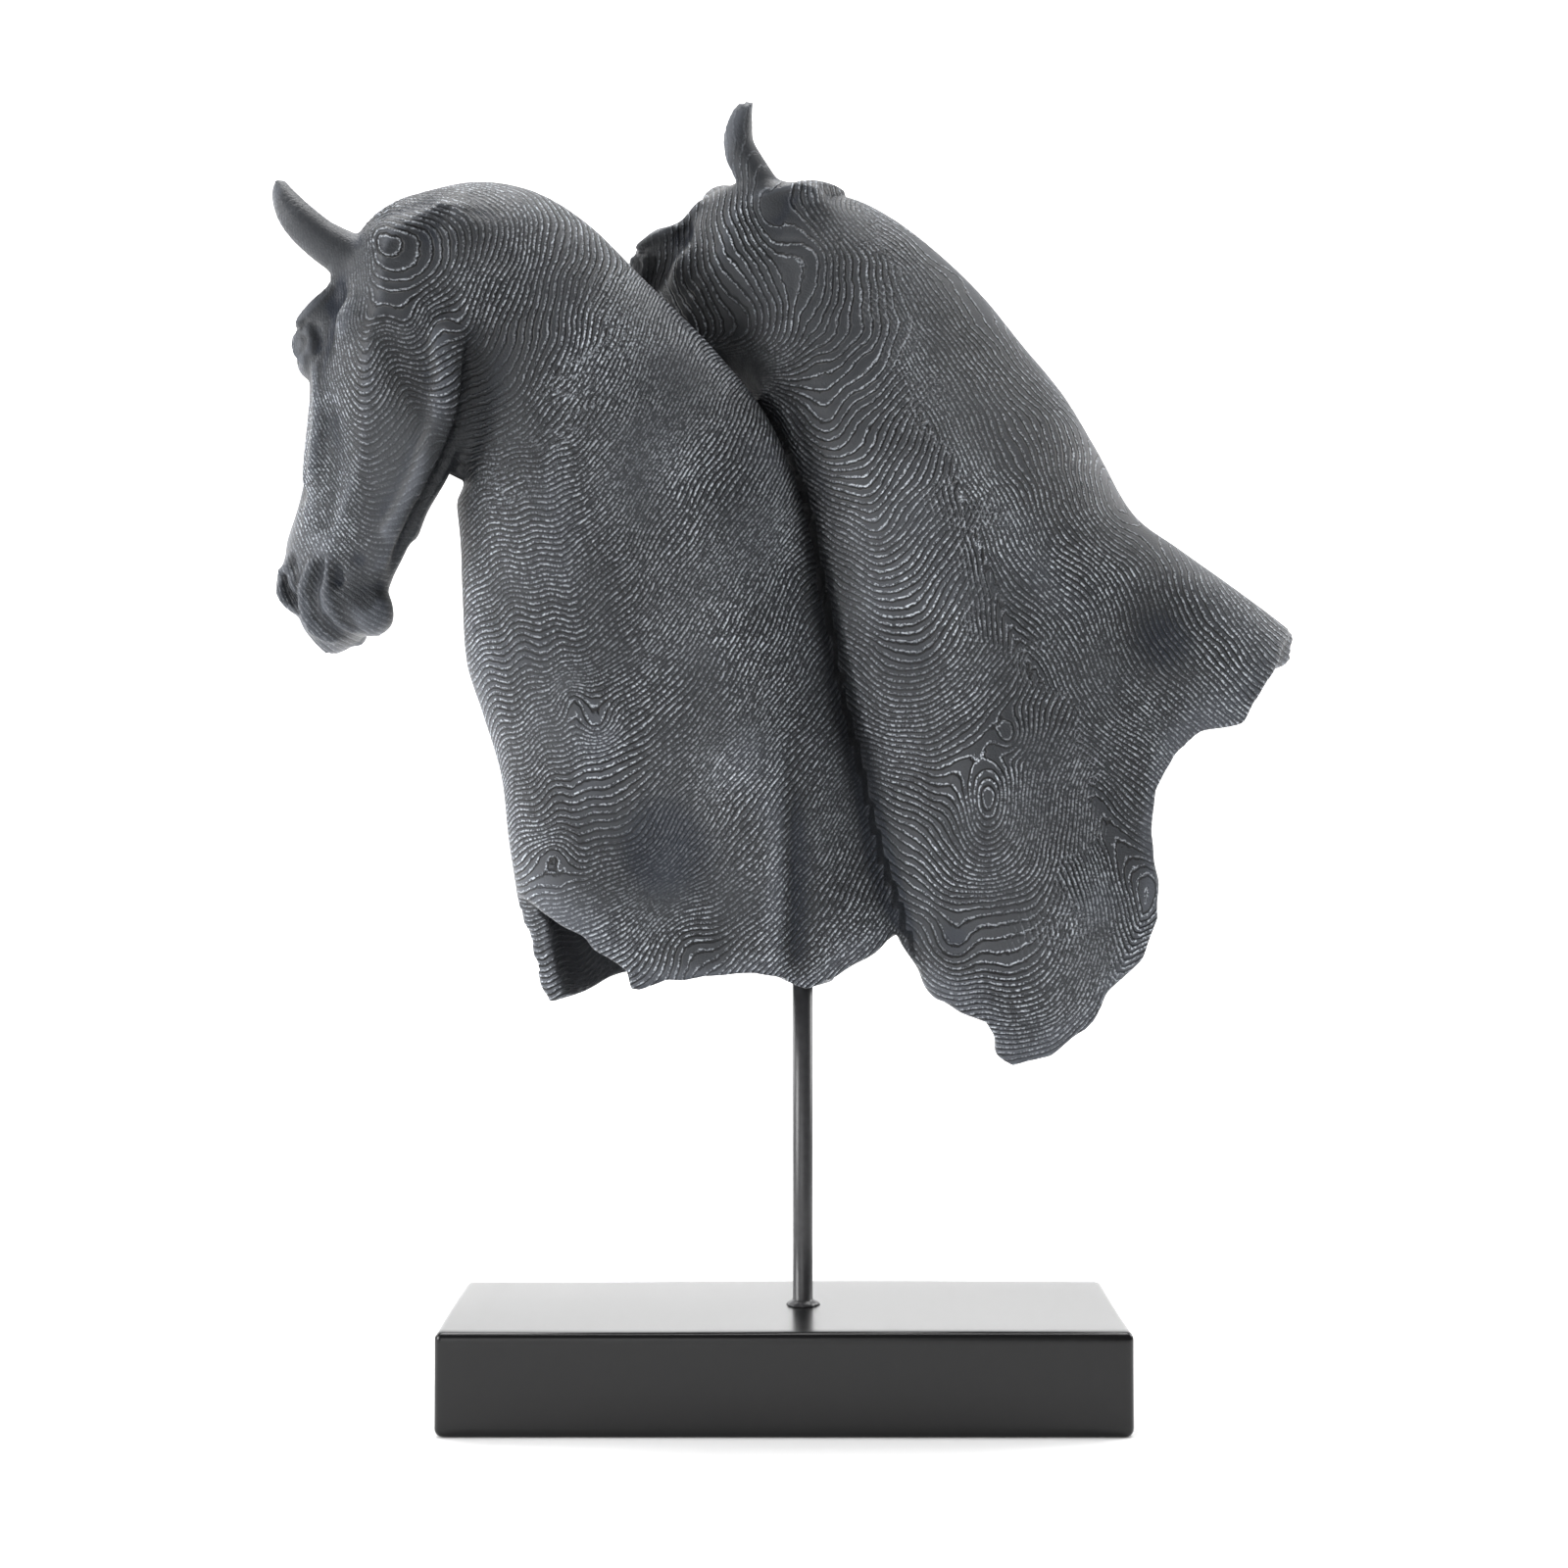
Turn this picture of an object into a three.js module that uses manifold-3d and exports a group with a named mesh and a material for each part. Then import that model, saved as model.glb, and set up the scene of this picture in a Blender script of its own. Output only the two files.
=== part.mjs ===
// Two horse heads in one casting, held up by a steel rod on a low black block.
// Millimetres, +Z up. X runs to the right and Y away from a viewer who stands in front.
// The origin is the middle of the block's underside.
import * as THREE from "three";
import { mergeVertices } from "three/addons/utils/BufferGeometryUtils.js";
import Module from "manifold-3d";

// Block
const blockLength = 284;
const blockDepth = 127;
const blockHeight = 43;
const blockRound = 3.5;

// Rod
const rodDiameter = 8.6;
const rodOffset = 8; // the rod stands this far to the right of the block's middle
const rodShown = 136; // from the block's top to the casting
const rodInBlock = 25;
const rodInCasting = 48;
const clearance = 0.3;
const beadWidth = 2.2; // weld bead round the rod's foot
const beadHeight = 1.8;

// Casting
const castingHeight = 413; // from the lowest lobe to the tip of the highest ear
const wall = 6; // thickness of the shell along its torn edges
const hollowDepth = 46; // how far the shell is hollow behind a torn edge
const bossWall = 9.7; // solid resin left round the rod
const bossCap = 16; // and above its end
const castingTriangles = 8800;

// The free form is drawn for a casting of this height and scaled to castingHeight.
// The origin of the drawing is where the rod enters the casting.
const drawnHeight = 413;
const headLength = 174;
const creaseBlend = 3;
const throatBlend = 6;
const pollBlend = 16;
const drawnLow = [-240, -76, -46];
const drawnHigh = [228, 134, 394];
const drawnStep = 3; // spacing of the grid that the surface is traced on
const scale = castingHeight / drawnHeight;
const bossRadius = rodDiameter / 2 + bossWall;
const bossHeight = rodInCasting + bossCap;

const mix = THREE.MathUtils.lerp;

// 0 at from, 1 at to, and smooth between them, whichever of the two is larger.
function ease(from, to, x) {
  const t = THREE.MathUtils.clamp((x - from) / (to - from), 0, 1);
  return t * t * (3 - 2 * t);
}

// Smooth minimum: joins two forms with a fillet of about the given size.
function blend(a, b, size) {
  const h = Math.max(size - Math.abs(a - b), 0) / size;
  return Math.min(a, b) - (h * h * size) / 4;
}

// Smooth maximum: cuts one form by another with a rounded edge.
const cutBy = (a, b, size) => -blend(-a, -b, size);

// Smooth curve through a table of [position, value] rows.
function profile(rows) {
  return (at) => {
    const last = rows.length - 1;
    if (at <= rows[0][0]) return rows[0][1];
    if (at >= rows[last][0]) return rows[last][1];
    const i = rows.findIndex((row) => row[0] > at) - 1;
    const slope = (k) => {
      const before = rows[Math.max(k - 1, 0)];
      const after = rows[Math.min(k + 1, last)];
      return (after[1] - before[1]) / (after[0] - before[0]);
    };
    const span = rows[i + 1][0] - rows[i][0];
    const t = (at - rows[i][0]) / span;
    const rise = rows[i + 1][1] - rows[i][1];
    const start = slope(i) * span;
    const end = slope(i + 1) * span;
    return rows[i][1] + t * (start + t * (3 * rise - 2 * start - end + t * (start + end - 2 * rise)));
  };
}

// Signed distance in the X-Z plane to a closed curve, positive inside.
function insideOf(points, rounds = true) {
  const corners = points.map(([x, z]) => new THREE.Vector3(x, 0, z));
  const line = rounds
    ? new THREE.CatmullRomCurve3(corners, true, "centripetal").getPoints(points.length * 5)
    : [...corners, corners[0]];
  return (x, z) => {
    let nearest = Infinity;
    let inside = false;
    for (let i = 1; i < line.length; i++) {
      const a = line[i - 1];
      const b = line[i];
      const ex = b.x - a.x;
      const ez = b.z - a.z;
      const t = THREE.MathUtils.clamp(((x - a.x) * ex + (z - a.z) * ez) / (ex * ex + ez * ez + 1e-9), 0, 1);
      const dx = x - a.x - t * ex;
      const dz = z - a.z - t * ez;
      nearest = Math.min(nearest, dx * dx + dz * dz);
      if (a.z > z !== b.z > z && x < a.x + ((z - a.z) / ez) * ex) inside = !inside;
    }
    return Math.sqrt(nearest) * (inside ? 1 : -1);
  };
}

// Sum of soft swells and hollows, each [x, z, radius, height].
function relief(swells) {
  return (x, z) =>
    swells.reduce((sum, [sx, sz, radius, height]) => {
      const q = ((x - sx) ** 2 + (z - sz) ** 2) / radius ** 2;
      return q < 6 ? sum + height * Math.exp(-q) : sum;
    }, 0);
}

// Distance to an ellipsoid, near enough for blending.
function ellipsoid(x, y, z, centre, radii) {
  const px = (x - centre[0]) / radii[0];
  const py = (y - centre[1]) / radii[1];
  const pz = (z - centre[2]) / radii[2];
  const k0 = Math.hypot(px, py, pz);
  const k1 = Math.hypot(px / radii[0], py / radii[1], pz / radii[2]);
  return k1 < 1e-9 ? -Math.min(...radii) : (k0 * (k0 - 1)) / k1;
}

// Head, in shares of its length: a from the poll to the lips, b out of the forehead, c to each side
const foreheadLine = profile([
  [-0.1, -0.195], [-0.04, -0.075], [0.04, 0.028], [0.14, 0.056], [0.24, 0.102], [0.36, 0.097], [0.5, 0.087],
  [0.64, 0.093], [0.74, 0.106], [0.79, 0.1], [0.84, 0.07], [0.9, 0.034], [0.95, -0.002], [1, -0.055],
]);
const jawLine = profile([
  [-0.1, -0.22], [-0.02, -0.21], [0.08, -0.28], [0.2, -0.34], [0.3, -0.36], [0.4, -0.36], [0.52, -0.325],
  [0.64, -0.266], [0.74, -0.216], [0.82, -0.184], [0.87, -0.184], [0.92, -0.162], [0.965, -0.106], [1, -0.06],
]);
const headHalfWidth = profile([
  [-0.1, 0.03], [-0.02, 0.1], [0.1, 0.135], [0.22, 0.15], [0.34, 0.145], [0.46, 0.125], [0.58, 0.11],
  [0.7, 0.105], [0.8, 0.105], [0.88, 0.11], [0.94, 0.095], [0.98, 0.055], [1, 0.02],
]);

function headForm(a, b, side) {
  const c = Math.abs(side);
  const at = THREE.MathUtils.clamp(a, -0.1, 1);
  const top = foreheadLine(at);
  const bottom = jawLine(at);
  const depth = (top - bottom) / 2;
  const height = (b - (top + bottom) / 2) / depth;
  const keel = mix(0.72, 0.25, ease(0.6, 0.78, at)); // below its edge the jaw slopes in, and the muzzle less so
  const width = headHalfWidth(at) * (1 - keel * THREE.MathUtils.clamp(-0.15 - height, 0, 0.9));
  const ring = (Math.abs(height) ** 2.3 + (c / width) ** 2.3) ** (1 / 2.3);
  const beyond = a - at;
  let form = Math.hypot(Math.max((ring - 1) * Math.min(depth, width), 0), beyond);
  if (beyond === 0) form = (ring - 1) * Math.min(depth, width);
  // Cheek plate, orbit, cheek ridge, socket and eye, nostril and its hole, chin, and the line of the mouth
  form = blend(form, ellipsoid(a, b, c, [0.31, -0.1, 0.08], [0.17, 0.1, 0.062]), 0.04);
  form = blend(form, ellipsoid(a, b, c, [0.25, 0.062, 0.096], [0.09, 0.05, 0.044]), 0.06);
  form = blend(form, ellipsoid(a, b, c, [0.46, 0.03, 0.092], [0.15, 0.022, 0.024]), 0.05);
  form = cutBy(form, -ellipsoid(a, b, c, [0.274, 0.058, 0.166], [0.042, 0.028, 0.026]), 0.02);
  form = blend(form, ellipsoid(a, b, c, [0.272, 0.06, 0.124], [0.03, 0.024, 0.026]), 0.008);
  form = blend(form, ellipsoid(a, b, c, [0.85, 0.03, 0.064], [0.06, 0.044, 0.042]), 0.04);
  form = cutBy(form, -ellipsoid(a, b, c, [0.86, 0.028, 0.116], [0.036, 0.018, 0.026]), 0.014);
  form = blend(form, ellipsoid(a, b, c, [0.885, -0.165, 0], [0.055, 0.05, 0.062]), 0.03);
  form = cutBy(form, -ellipsoid(a, b, c, [0.93, -0.078, 0.11], [0.1, 0.009, 0.045]), 0.012);
  return form;
}

// A head set in the casting: its poll, the way its axis runs and how far its face turns from the viewer.
function placedHead({ poll, towards, turn }) {
  const along = new THREE.Vector3(...towards).normalize();
  const away = new THREE.Vector3(0, 1, 0);
  const flat = new THREE.Vector3().crossVectors(along, away).normalize(); // in the picture plane
  const level = new THREE.Vector3().crossVectors(flat, along).normalize();
  const turned = THREE.MathUtils.degToRad(turn);
  const face = flat.clone().multiplyScalar(-Math.cos(turned)).addScaledVector(level, Math.sin(turned));
  const side = new THREE.Vector3().crossVectors(along, face);
  const reach = 1.3 * headLength;
  return (x, y, z) => {
    const dx = x - poll[0];
    const dy = y - poll[1];
    const dz = z - poll[2];
    const a = dx * along.x + dy * along.y + dz * along.z;
    const b = dx * face.x + dy * face.y + dz * face.z;
    const c = dx * side.x + dy * side.y + dz * side.z;
    const far = Math.max(Math.hypot(b, c) - 0.5 * headLength, a - reach, -a - 0.4 * headLength);
    if (far > 20) return far;
    return headLength * headForm(a / headLength, b / headLength, c / headLength);
  };
}

// An ear: a curved cone, hollow on the side it faces. Each row of the line is [x, y, z, radius].
function ear(line, facing) {
  const towards = new THREE.Vector3(...facing).normalize().toArray();
  const [cx, cy, cz] = line[Math.floor(line.length / 2)];
  const reach = 45;
  return (x, y, z) => {
    const away = Math.hypot(x - cx, y - cy, z - cz) - reach;
    if (away > 10) return away;
    const nearest = (share, shift) =>
      line.slice(1).reduce((least, end, i) => {
        const start = line[i];
        const e = [0, 1, 2].map((d) => end[d] - start[d]);
        const radiusAt = (t) => mix(start[3], end[3], t);
        const p = [x, y, z].map((value, d) => value - start[d] - shift * towards[d] * radiusAt(0.5));
        const t = THREE.MathUtils.clamp(
          (p[0] * e[0] + p[1] * e[1] + p[2] * e[2]) / (e[0] ** 2 + e[1] ** 2 + e[2] ** 2), 0, 1);
        const gap = Math.hypot(p[0] - t * e[0], p[1] - t * e[1], p[2] - t * e[2]);
        return Math.min(least, gap - share * radiusAt(t));
      }, Infinity);
    const outer = nearest(1, 0);
    if (outer > 15) return outer;
    return cutBy(outer, -nearest(0.5, 0.85), 3);
  };
}

// A neck and shoulder: the outline seen from the front, filled to a rounded thickness.
function neck({ outline, round, middle, near, far }) {
  const inside = insideOf(outline);
  return {
    column: (x, z) => ({
      edge: Math.max(round - inside(x, z), 0) / round,
      middle: middle(x, z),
      near: near(x, z),
      far: far(x, z),
    }),
    form: (at, y) => {
      const half = y < at.middle ? at.near : at.far;
      return (Math.hypot(at.edge, (y - at.middle) / half) - 1) * Math.min(round, half);
    },
  };
}

const leftHead = placedHead({ poll: [-180, -8, 314], towards: [-28, 10, -167], turn: 32 });
const rightHead = placedHead({ poll: [-30, 31, 345], towards: [-75, 52, -150], turn: 32 });

const leftNeck = neck({
  outline: [
    [-187, 319], [-174, 331], [-157, 337], [-137, 340.5], [-114, 336.5], [-92, 323.5], [-66, 298], [-37, 269],
    [-14, 239], [2, 198], [11, 156], [22, 107], [42, 53], [54, 3], [34, -35], [-33, -43], [-108, -39],
    [-117, -1], [-121, 36], [-125, 63], [-128, 90], [-136, 117], [-142, 136], [-144, 165], [-145, 190],
    [-148, 212], [-153, 239], [-166, 264], [-182, 289], [-189, 305],
  ],
  round: 52,
  middle: (x, z) => -8 + 5 * ease(150, 40, z),
  near: relief([
    [-60, 130, 400, 32], [-100, 200, 45, 4], [-75, 100, 34, 4], [-62, 62, 30, -6], [-120, 35, 18, 4],
    [-30, 90, 26, 3], [-176, 316, 12, 3], [-90, 270, 40, 2],
  ]),
  far: relief([[-60, 130, 400, 28], [-80, 120, 50, 4], [-120, 240, 30, -3]]),
});

const rightNeck = neck({
  outline: [
    [-23, 336], [-8, 342], [7, 342.5], [23, 339.5], [41, 330], [60, 315], [78, 297], [95, 275], [112, 253],
    [126, 228], [141, 200], [159, 186], [181, 170], [212, 146], [249, 111], [249, 36], [208, -39],
    [141, -72], [79, -68], [55, -18], [40, 28], [29, 65], [21, 100], [13, 131], [9, 161], [4, 186],
    [-2, 211], [-11, 233], [-23, 250], [-31, 272], [-36, 298], [-34, 324],
  ],
  round: 55,
  middle: (x, z) => mix(-6, 26, ease(150, 330, z)),
  near: relief([
    [60, 150, 420, 33], [80, 82, 30, 5], [84, 190, 40, 3], [152, 150, 24, -7], [44, 140, 20, -3],
    [118, 40, 26, 4], [60, 20, 14, -4],
  ]),
  far: relief([[60, 150, 420, 29], [90, 100, 50, 4], [40, 240, 34, 3]]),
});

// The shoulder in the front steps back to the right of this line, below the crossing of the necks.
const shoulderStep = (x, z) => 6 * ease(-11, -2, x) * ease(110, 50, z);

// Torn lower edge: all that lies inside the line is kept. The near and the far wall tear differently.
const tornNear = insideOf([
  [275, 420],
  [276, 183], [208, 151], [197, 136], [190, 122], [182, 112], [165, 107], [154, 99], [146, 83],
  [144, 65], [147, 45], [147, 30], [140, 13], [127, -1], [117, -16], [103, -27], [87, -32], [81, -26],
  [77, -13], [68, -10], [55, -5], [46, 11], [39, 22], [26, 13], [13, 5], [2, 0], [-9, 5], [-20, 7],
  [-32, 6], [-41, 6], [-50, 4], [-57, 5], [-66, 1], [-71, -1], [-74, 8], [-90, 20], [-105, 30],
  [-130, 44],
  [-250, 44], [-250, 420],
], false);
const tornFar = insideOf([
  [275, 420],
  [290, 188], [215, 147], [213, 141], [207, 137], [196, 133], [184, 119], [164, 110], [152, 90],
  [143, 65], [145, 41], [139, 18], [122, 1], [109, -16], [94, -23], [77, -8], [60, 3], [41, 22],
  [26, 11], [13, 2], [1, -2], [-12, 4], [-34, 6], [-55, 5], [-70, 7], [-85, 1], [-97, -4], [-108, -8],
  [-114, -1], [-117, 18], [-136, 28],
  [-250, 44], [-250, 420],
], false);

const ears = [
  ear([[-188, -20, 305, 9.5], [-201, -23, 313, 8.5], [-211, -24, 322, 7.5], [-217, -23, 331, 5],
    [-219, -22, 338, 1.8]], [-0.3, 0.9, -0.3]),
  ear([[-188, 12, 312, 8], [-199, 19, 318, 7.5], [-208, 25, 325, 5.5], [-215, 29, 330, 1.6]], [-0.8, 0, -0.5]),
  ear([[-14, 14, 333, 10], [-22, 12, 347, 8.5], [-28, 10, 359, 7.5], [-27, 9, 370, 5.5],
    [-23, 9, 380.8, 1.8]], [-1, 0.2, -0.1]),
  ear([[-19, 42, 339, 8], [-24, 50, 352, 7.5], [-26, 56, 362, 5.5], [-25, 58, 371, 1.6]], [-1, 0, -0.1]),
];
const forelock = (x, y, z) => ellipsoid(x, y, z, [-34, 38, 340], [10, 14, 8]);

// The field of the casting, below 0 inside. What depends on x and z alone is worked out once a column.
function castingColumn(x, z) {
  const left = leftNeck.column(x, z);
  left.near -= shoulderStep(x, z);
  return { x, z, left, right: rightNeck.column(x, z), tornNear: -tornNear(x, z), tornFar: -tornFar(x, z) };
}

function castingField(at, y) {
  const { x, z } = at;
  const necks = blend(leftNeck.form(at.left, y), rightNeck.form(at.right, y), creaseBlend);
  let form = blend(necks, leftHead(x, y, z), mix(throatBlend, pollBlend, ease(255, 300, z)));
  form = blend(form, rightHead(x, y, z), mix(throatBlend, pollBlend, ease(275, 320, z) * ease(-60, -25, x)));
  form = ears.reduce((sum, one) => blend(sum, one(x, y, z), 4), form);
  form = blend(form, forelock(x, y, z), 4);
  const torn = mix(at.tornNear, at.tornFar, ease(-8, 8, y));
  const boss = Math.max(Math.hypot(x, y) - bossRadius / scale, z - bossHeight / scale);
  const hollow = cutBy(cutBy(necks + wall / scale, -torn - hollowDepth / scale, 12), -boss, 4);
  form = cutBy(form, torn, 2);
  return cutBy(form, -hollow, 2);
}

// Traces the zero surface of a field on a grid, with one point for each sheet that crosses a cell.
function trace(low, high, step) {
  const count = low.map((value, i) => Math.ceil((high[i] - value) / step) + 1);
  const [nx, ny, nz] = count;
  const stride = [nz * ny, 1, ny];
  const place = (i, axis) => low[axis] + i * step;
  const value = new Float32Array(nx * ny * nz);
  for (let i = 0; i < nx; i++)
    for (let k = 0; k < nz; k++) {
      const column = castingColumn(place(i, 0), place(k, 2));
      for (let j = 0; j < ny; j++)
        value[i * stride[0] + j + k * stride[2]] = castingField(column, place(j, 1));
    }

  // Corners of a cell are numbered by their bits x, y, z, and edges by axis and the other two bits.
  const edges = [];
  const edgeAt = (p, q) => edges.findIndex((e) => (e[0] === p && e[1] === q) || (e[0] === q && e[1] === p));
  for (let axis = 0; axis < 3; axis++)
    for (let corner = 0; corner < 8; corner++)
      if (!(corner & (1 << axis))) edges.push([corner, corner | (1 << axis), axis]);
  const faces = [];
  for (let axis = 0; axis < 3; axis++)
    for (const offset of [0, 1 << axis]) {
      const u = 1 << ((axis + 1) % 3);
      const v = 1 << ((axis + 2) % 3);
      faces.push([offset, offset | u, offset | u | v, offset | v]);
    }
  // For each pattern of inside corners, the sheet that each crossed edge belongs to
  const sheets = Array.from({ length: 256 }, (_, pattern) => {
    const sheet = edges.map((e, i) => (((pattern >> e[0]) ^ (pattern >> e[1])) & 1 ? i : -1));
    const join = (p, q) => {
      const from = sheet[p];
      const to = sheet[q];
      sheet.forEach((s, i) => {
        if (s === from) sheet[i] = to;
      });
    };
    for (const face of faces) {
      const around = face.map((corner, i) => edgeAt(corner, face[(i + 1) % 4]));
      const crossed = around.filter((e) => sheet[e] >= 0);
      if (crossed.length === 2) join(crossed[0], crossed[1]);
      if (crossed.length === 4)
        face.forEach((corner, i) => {
          if ((pattern >> corner) & 1) join(around[i], around[(i + 3) % 4]);
        });
    }
    return sheet;
  });

  const points = [];
  const pointAt = new Map();
  for (let i = 0; i < nx - 1; i++)
    for (let k = 0; k < nz - 1; k++)
      for (let j = 0; j < ny - 1; j++) {
        const cell = i * stride[0] + j + k * stride[2];
        const corner = (c) => cell + (c & 1) * stride[0] + ((c >> 1) & 1) * stride[1] + ((c >> 2) & 1) * stride[2];
        let pattern = 0;
        for (let c = 0; c < 8; c++) if (value[corner(c)] < 0) pattern |= 1 << c;
        if (pattern === 0 || pattern === 255) continue;
        const sheet = sheets[pattern];
        for (const id of new Set(sheet.filter((s) => s >= 0))) {
          const sum = [0, 0, 0];
          let n = 0;
          edges.forEach(([p, q, axis], e) => {
            if (sheet[e] !== id) return;
            const from = value[corner(p)];
            const t = from / (from - value[corner(q)]);
            [0, 1, 2].forEach((d) => (sum[d] += ((p >> d) & 1) + (d === axis ? t : 0)));
            pointAt.set(cell * 12 + e, points.length / 3);
            n++;
          });
          points.push(place(i + sum[0] / n, 0), place(j + sum[1] / n, 1), place(k + sum[2] / n, 2));
        }
      }

  const triangles = [];
  for (let i = 1; i < nx - 1; i++)
    for (let k = 1; k < nz - 1; k++)
      for (let j = 1; j < ny - 1; j++) {
        const node = i * stride[0] + j + k * stride[2];
        for (let axis = 0; axis < 3; axis++) {
          const inside = value[node] < 0;
          if (inside === value[node + stride[axis]] < 0) continue;
          const b = (axis + 1) % 3;
          const c = (axis + 2) % 3;
          const quad = [[0, 0], [1, 0], [1, 1], [0, 1]].map(([sb, sc]) => {
            const cell = node - sb * stride[b] - sc * stride[c];
            const start = (sb << b) | (sc << c);
            return pointAt.get(cell * 12 + edgeAt(start, start | (1 << axis)));
          });
          if (!inside) quad.reverse();
          triangles.push(quad[0], quad[1], quad[2], quad[0], quad[2], quad[3]);
        }
      }
  return { points, triangles };
}

// Thins a closed mesh to a number of triangles, flattest places first (quadric error edge collapse).
function thin({ points, triangles }, target) {
  const faces = [];
  for (let i = 0; i < triangles.length; i += 3) faces.push([triangles[i], triangles[i + 1], triangles[i + 2]]);
  const at = [];
  for (let i = 0; i < points.length; i += 3) at.push(new THREE.Vector3(points[i], points[i + 1], points[i + 2]));
  const facesOf = at.map(() => new Set());
  faces.forEach((face, f) => face.forEach((v) => facesOf[v].add(f)));
  const normalOf = (a, b, c) => new THREE.Vector3().subVectors(b, a).cross(new THREE.Vector3().subVectors(c, a));

  // A quadric is the ten numbers of the squared distance to a set of planes, weighted by area.
  const quadric = at.map(() => new Float64Array(10));
  for (const face of faces) {
    const n = normalOf(...face.map((v) => at[v]));
    const area = n.length();
    if (area < 1e-12) continue;
    n.divideScalar(area);
    const d = -n.dot(at[face[0]]);
    const q = [n.x * n.x, n.x * n.y, n.x * n.z, n.x * d, n.y * n.y, n.y * n.z, n.y * d, n.z * n.z, n.z * d, d * d];
    for (const v of face) q.forEach((value, i) => (quadric[v][i] += value * area));
  }
  const errorAt = (q, { x, y, z }) =>
    q[0] * x * x + 2 * q[1] * x * y + 2 * q[2] * x * z + 2 * q[3] * x + q[4] * y * y +
    2 * q[5] * y * z + 2 * q[6] * y + q[7] * z * z + 2 * q[8] * z + q[9];

  const version = new Int32Array(at.length);
  const heap = [];
  const less = (i, j) => heap[i].cost < heap[j].cost;
  const swap = (i, j) => ([heap[i], heap[j]] = [heap[j], heap[i]]);
  function push(item) {
    let i = heap.push(item) - 1;
    while (i > 0 && less(i, (i - 1) >> 1)) {
      swap(i, (i - 1) >> 1);
      i = (i - 1) >> 1;
    }
  }
  function pop() {
    const top = heap[0];
    const end = heap.pop();
    if (!heap.length) return top;
    heap[0] = end;
    for (let i = 0; ; ) {
      let least = i;
      if (2 * i + 1 < heap.length && less(2 * i + 1, least)) least = 2 * i + 1;
      if (2 * i + 2 < heap.length && less(2 * i + 2, least)) least = 2 * i + 2;
      if (least === i) return top;
      swap(i, least);
      i = least;
    }
  }
  function consider(u, v) {
    const q = quadric[u].map((value, i) => value + quadric[v][i]);
    const middle = at[u].clone().add(at[v]).multiplyScalar(0.5);
    const flat = new THREE.Matrix3().set(q[0], q[1], q[2], q[1], q[4], q[5], q[2], q[5], q[7]);
    const choices = [middle, at[u], at[v]];
    if (Math.abs(flat.determinant()) > 1e-4) {
      const best = new THREE.Vector3(-q[3], -q[6], -q[8]).applyMatrix3(flat.invert());
      if (best.distanceTo(middle) < 2 * at[u].distanceTo(at[v])) choices.push(best);
    }
    const costs = choices.map((p) => errorAt(q, p));
    const least = costs.indexOf(Math.min(...costs));
    const spread = 1e-4 * at[u].distanceToSquared(at[v]);
    push({ cost: costs[least] + spread, u, v, to: choices[least], stamps: [version[u], version[v]] });
  }
  const neighbours = (v) => {
    const found = new Set();
    for (const f of facesOf[v]) for (const w of faces[f]) if (w !== v) found.add(w);
    return found;
  };
  function keepsShape(v, other, to) {
    for (const f of facesOf[v]) {
      const face = faces[f];
      if (face.includes(other)) continue;
      const old = normalOf(...face.map((w) => at[w]));
      const now = normalOf(...face.map((w) => (w === v ? to : at[w])));
      if (now.length() < 1e-3 || now.dot(old) < 0.3 * now.length() * old.length()) return false;
    }
    return true;
  }
  faces.forEach(([a, b, c]) => [[a, b], [b, c], [c, a]].forEach(([u, v]) => u < v && consider(u, v)));
  let left = faces.length;
  while (left > target && heap.length) {
    const { u, v, to, stamps } = pop();
    if (version[u] !== stamps[0] || version[v] !== stamps[1] || !facesOf[u].size || !facesOf[v].size) continue;
    const around = neighbours(v);
    const shared = [...neighbours(u)].filter((w) => around.has(w));
    if (shared.length !== 2 || !keepsShape(u, v, to) || !keepsShape(v, u, to)) continue;
    for (const f of [...facesOf[u]]) {
      if (faces[f].includes(v)) {
        faces[f].forEach((w) => facesOf[w].delete(f));
        faces[f] = null;
        left--;
      } else {
        faces[f] = faces[f].map((w) => (w === u ? v : w));
        facesOf[v].add(f);
      }
    }
    facesOf[u].clear();
    at[v] = to.clone();
    quadric[v] = quadric[v].map((value, i) => value + quadric[u][i]);
    version[u]++;
    version[v]++;
    for (const w of neighbours(v)) consider(v, w);
  }
  const kept = faces.filter((face) => face);
  const used = [...new Set(kept.flat())];
  const number = new Map(used.map((v, i) => [v, i]));
  return {
    points: used.flatMap((v) => at[v].toArray()),
    triangles: kept.flat().map((v) => number.get(v)),
  };
}

const wasm = await Module();
wasm.setup();

function solidOf(points, triangles) {
  return new wasm.Manifold(
    new wasm.Mesh({
      numProp: 3,
      vertProperties: new Float32Array(points),
      triVerts: new Uint32Array(triangles),
    }),
  );
}

function solidFrom(geometry) {
  const bare = geometry.clone();
  bare.deleteAttribute("normal");
  bare.deleteAttribute("uv");
  const merged = mergeVertices(bare, 1e-4);
  return solidOf(merged.attributes.position.array, merged.index.array);
}

function geometryOf(solid) {
  const { vertProperties, triVerts } = solid.getMesh();
  const geometry = new THREE.BufferGeometry();
  geometry.setAttribute("position", new THREE.BufferAttribute(vertProperties, 3));
  geometry.setIndex(new THREE.BufferAttribute(triVerts, 1));
  const flat = geometry.toNonIndexed();
  flat.computeVertexNormals();
  return flat;
}

// What is cut away for the rod: it runs up by depth and down by mouth, with the named clearance all round.
function rodHole(depth, mouth) {
  const radius = rodDiameter / 2 + clearance;
  const hole = new THREE.CylinderGeometry(radius, radius, depth + mouth, 24);
  return hole.rotateX(Math.PI / 2).translate(0, 0, (depth - mouth) / 2);
}

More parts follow.
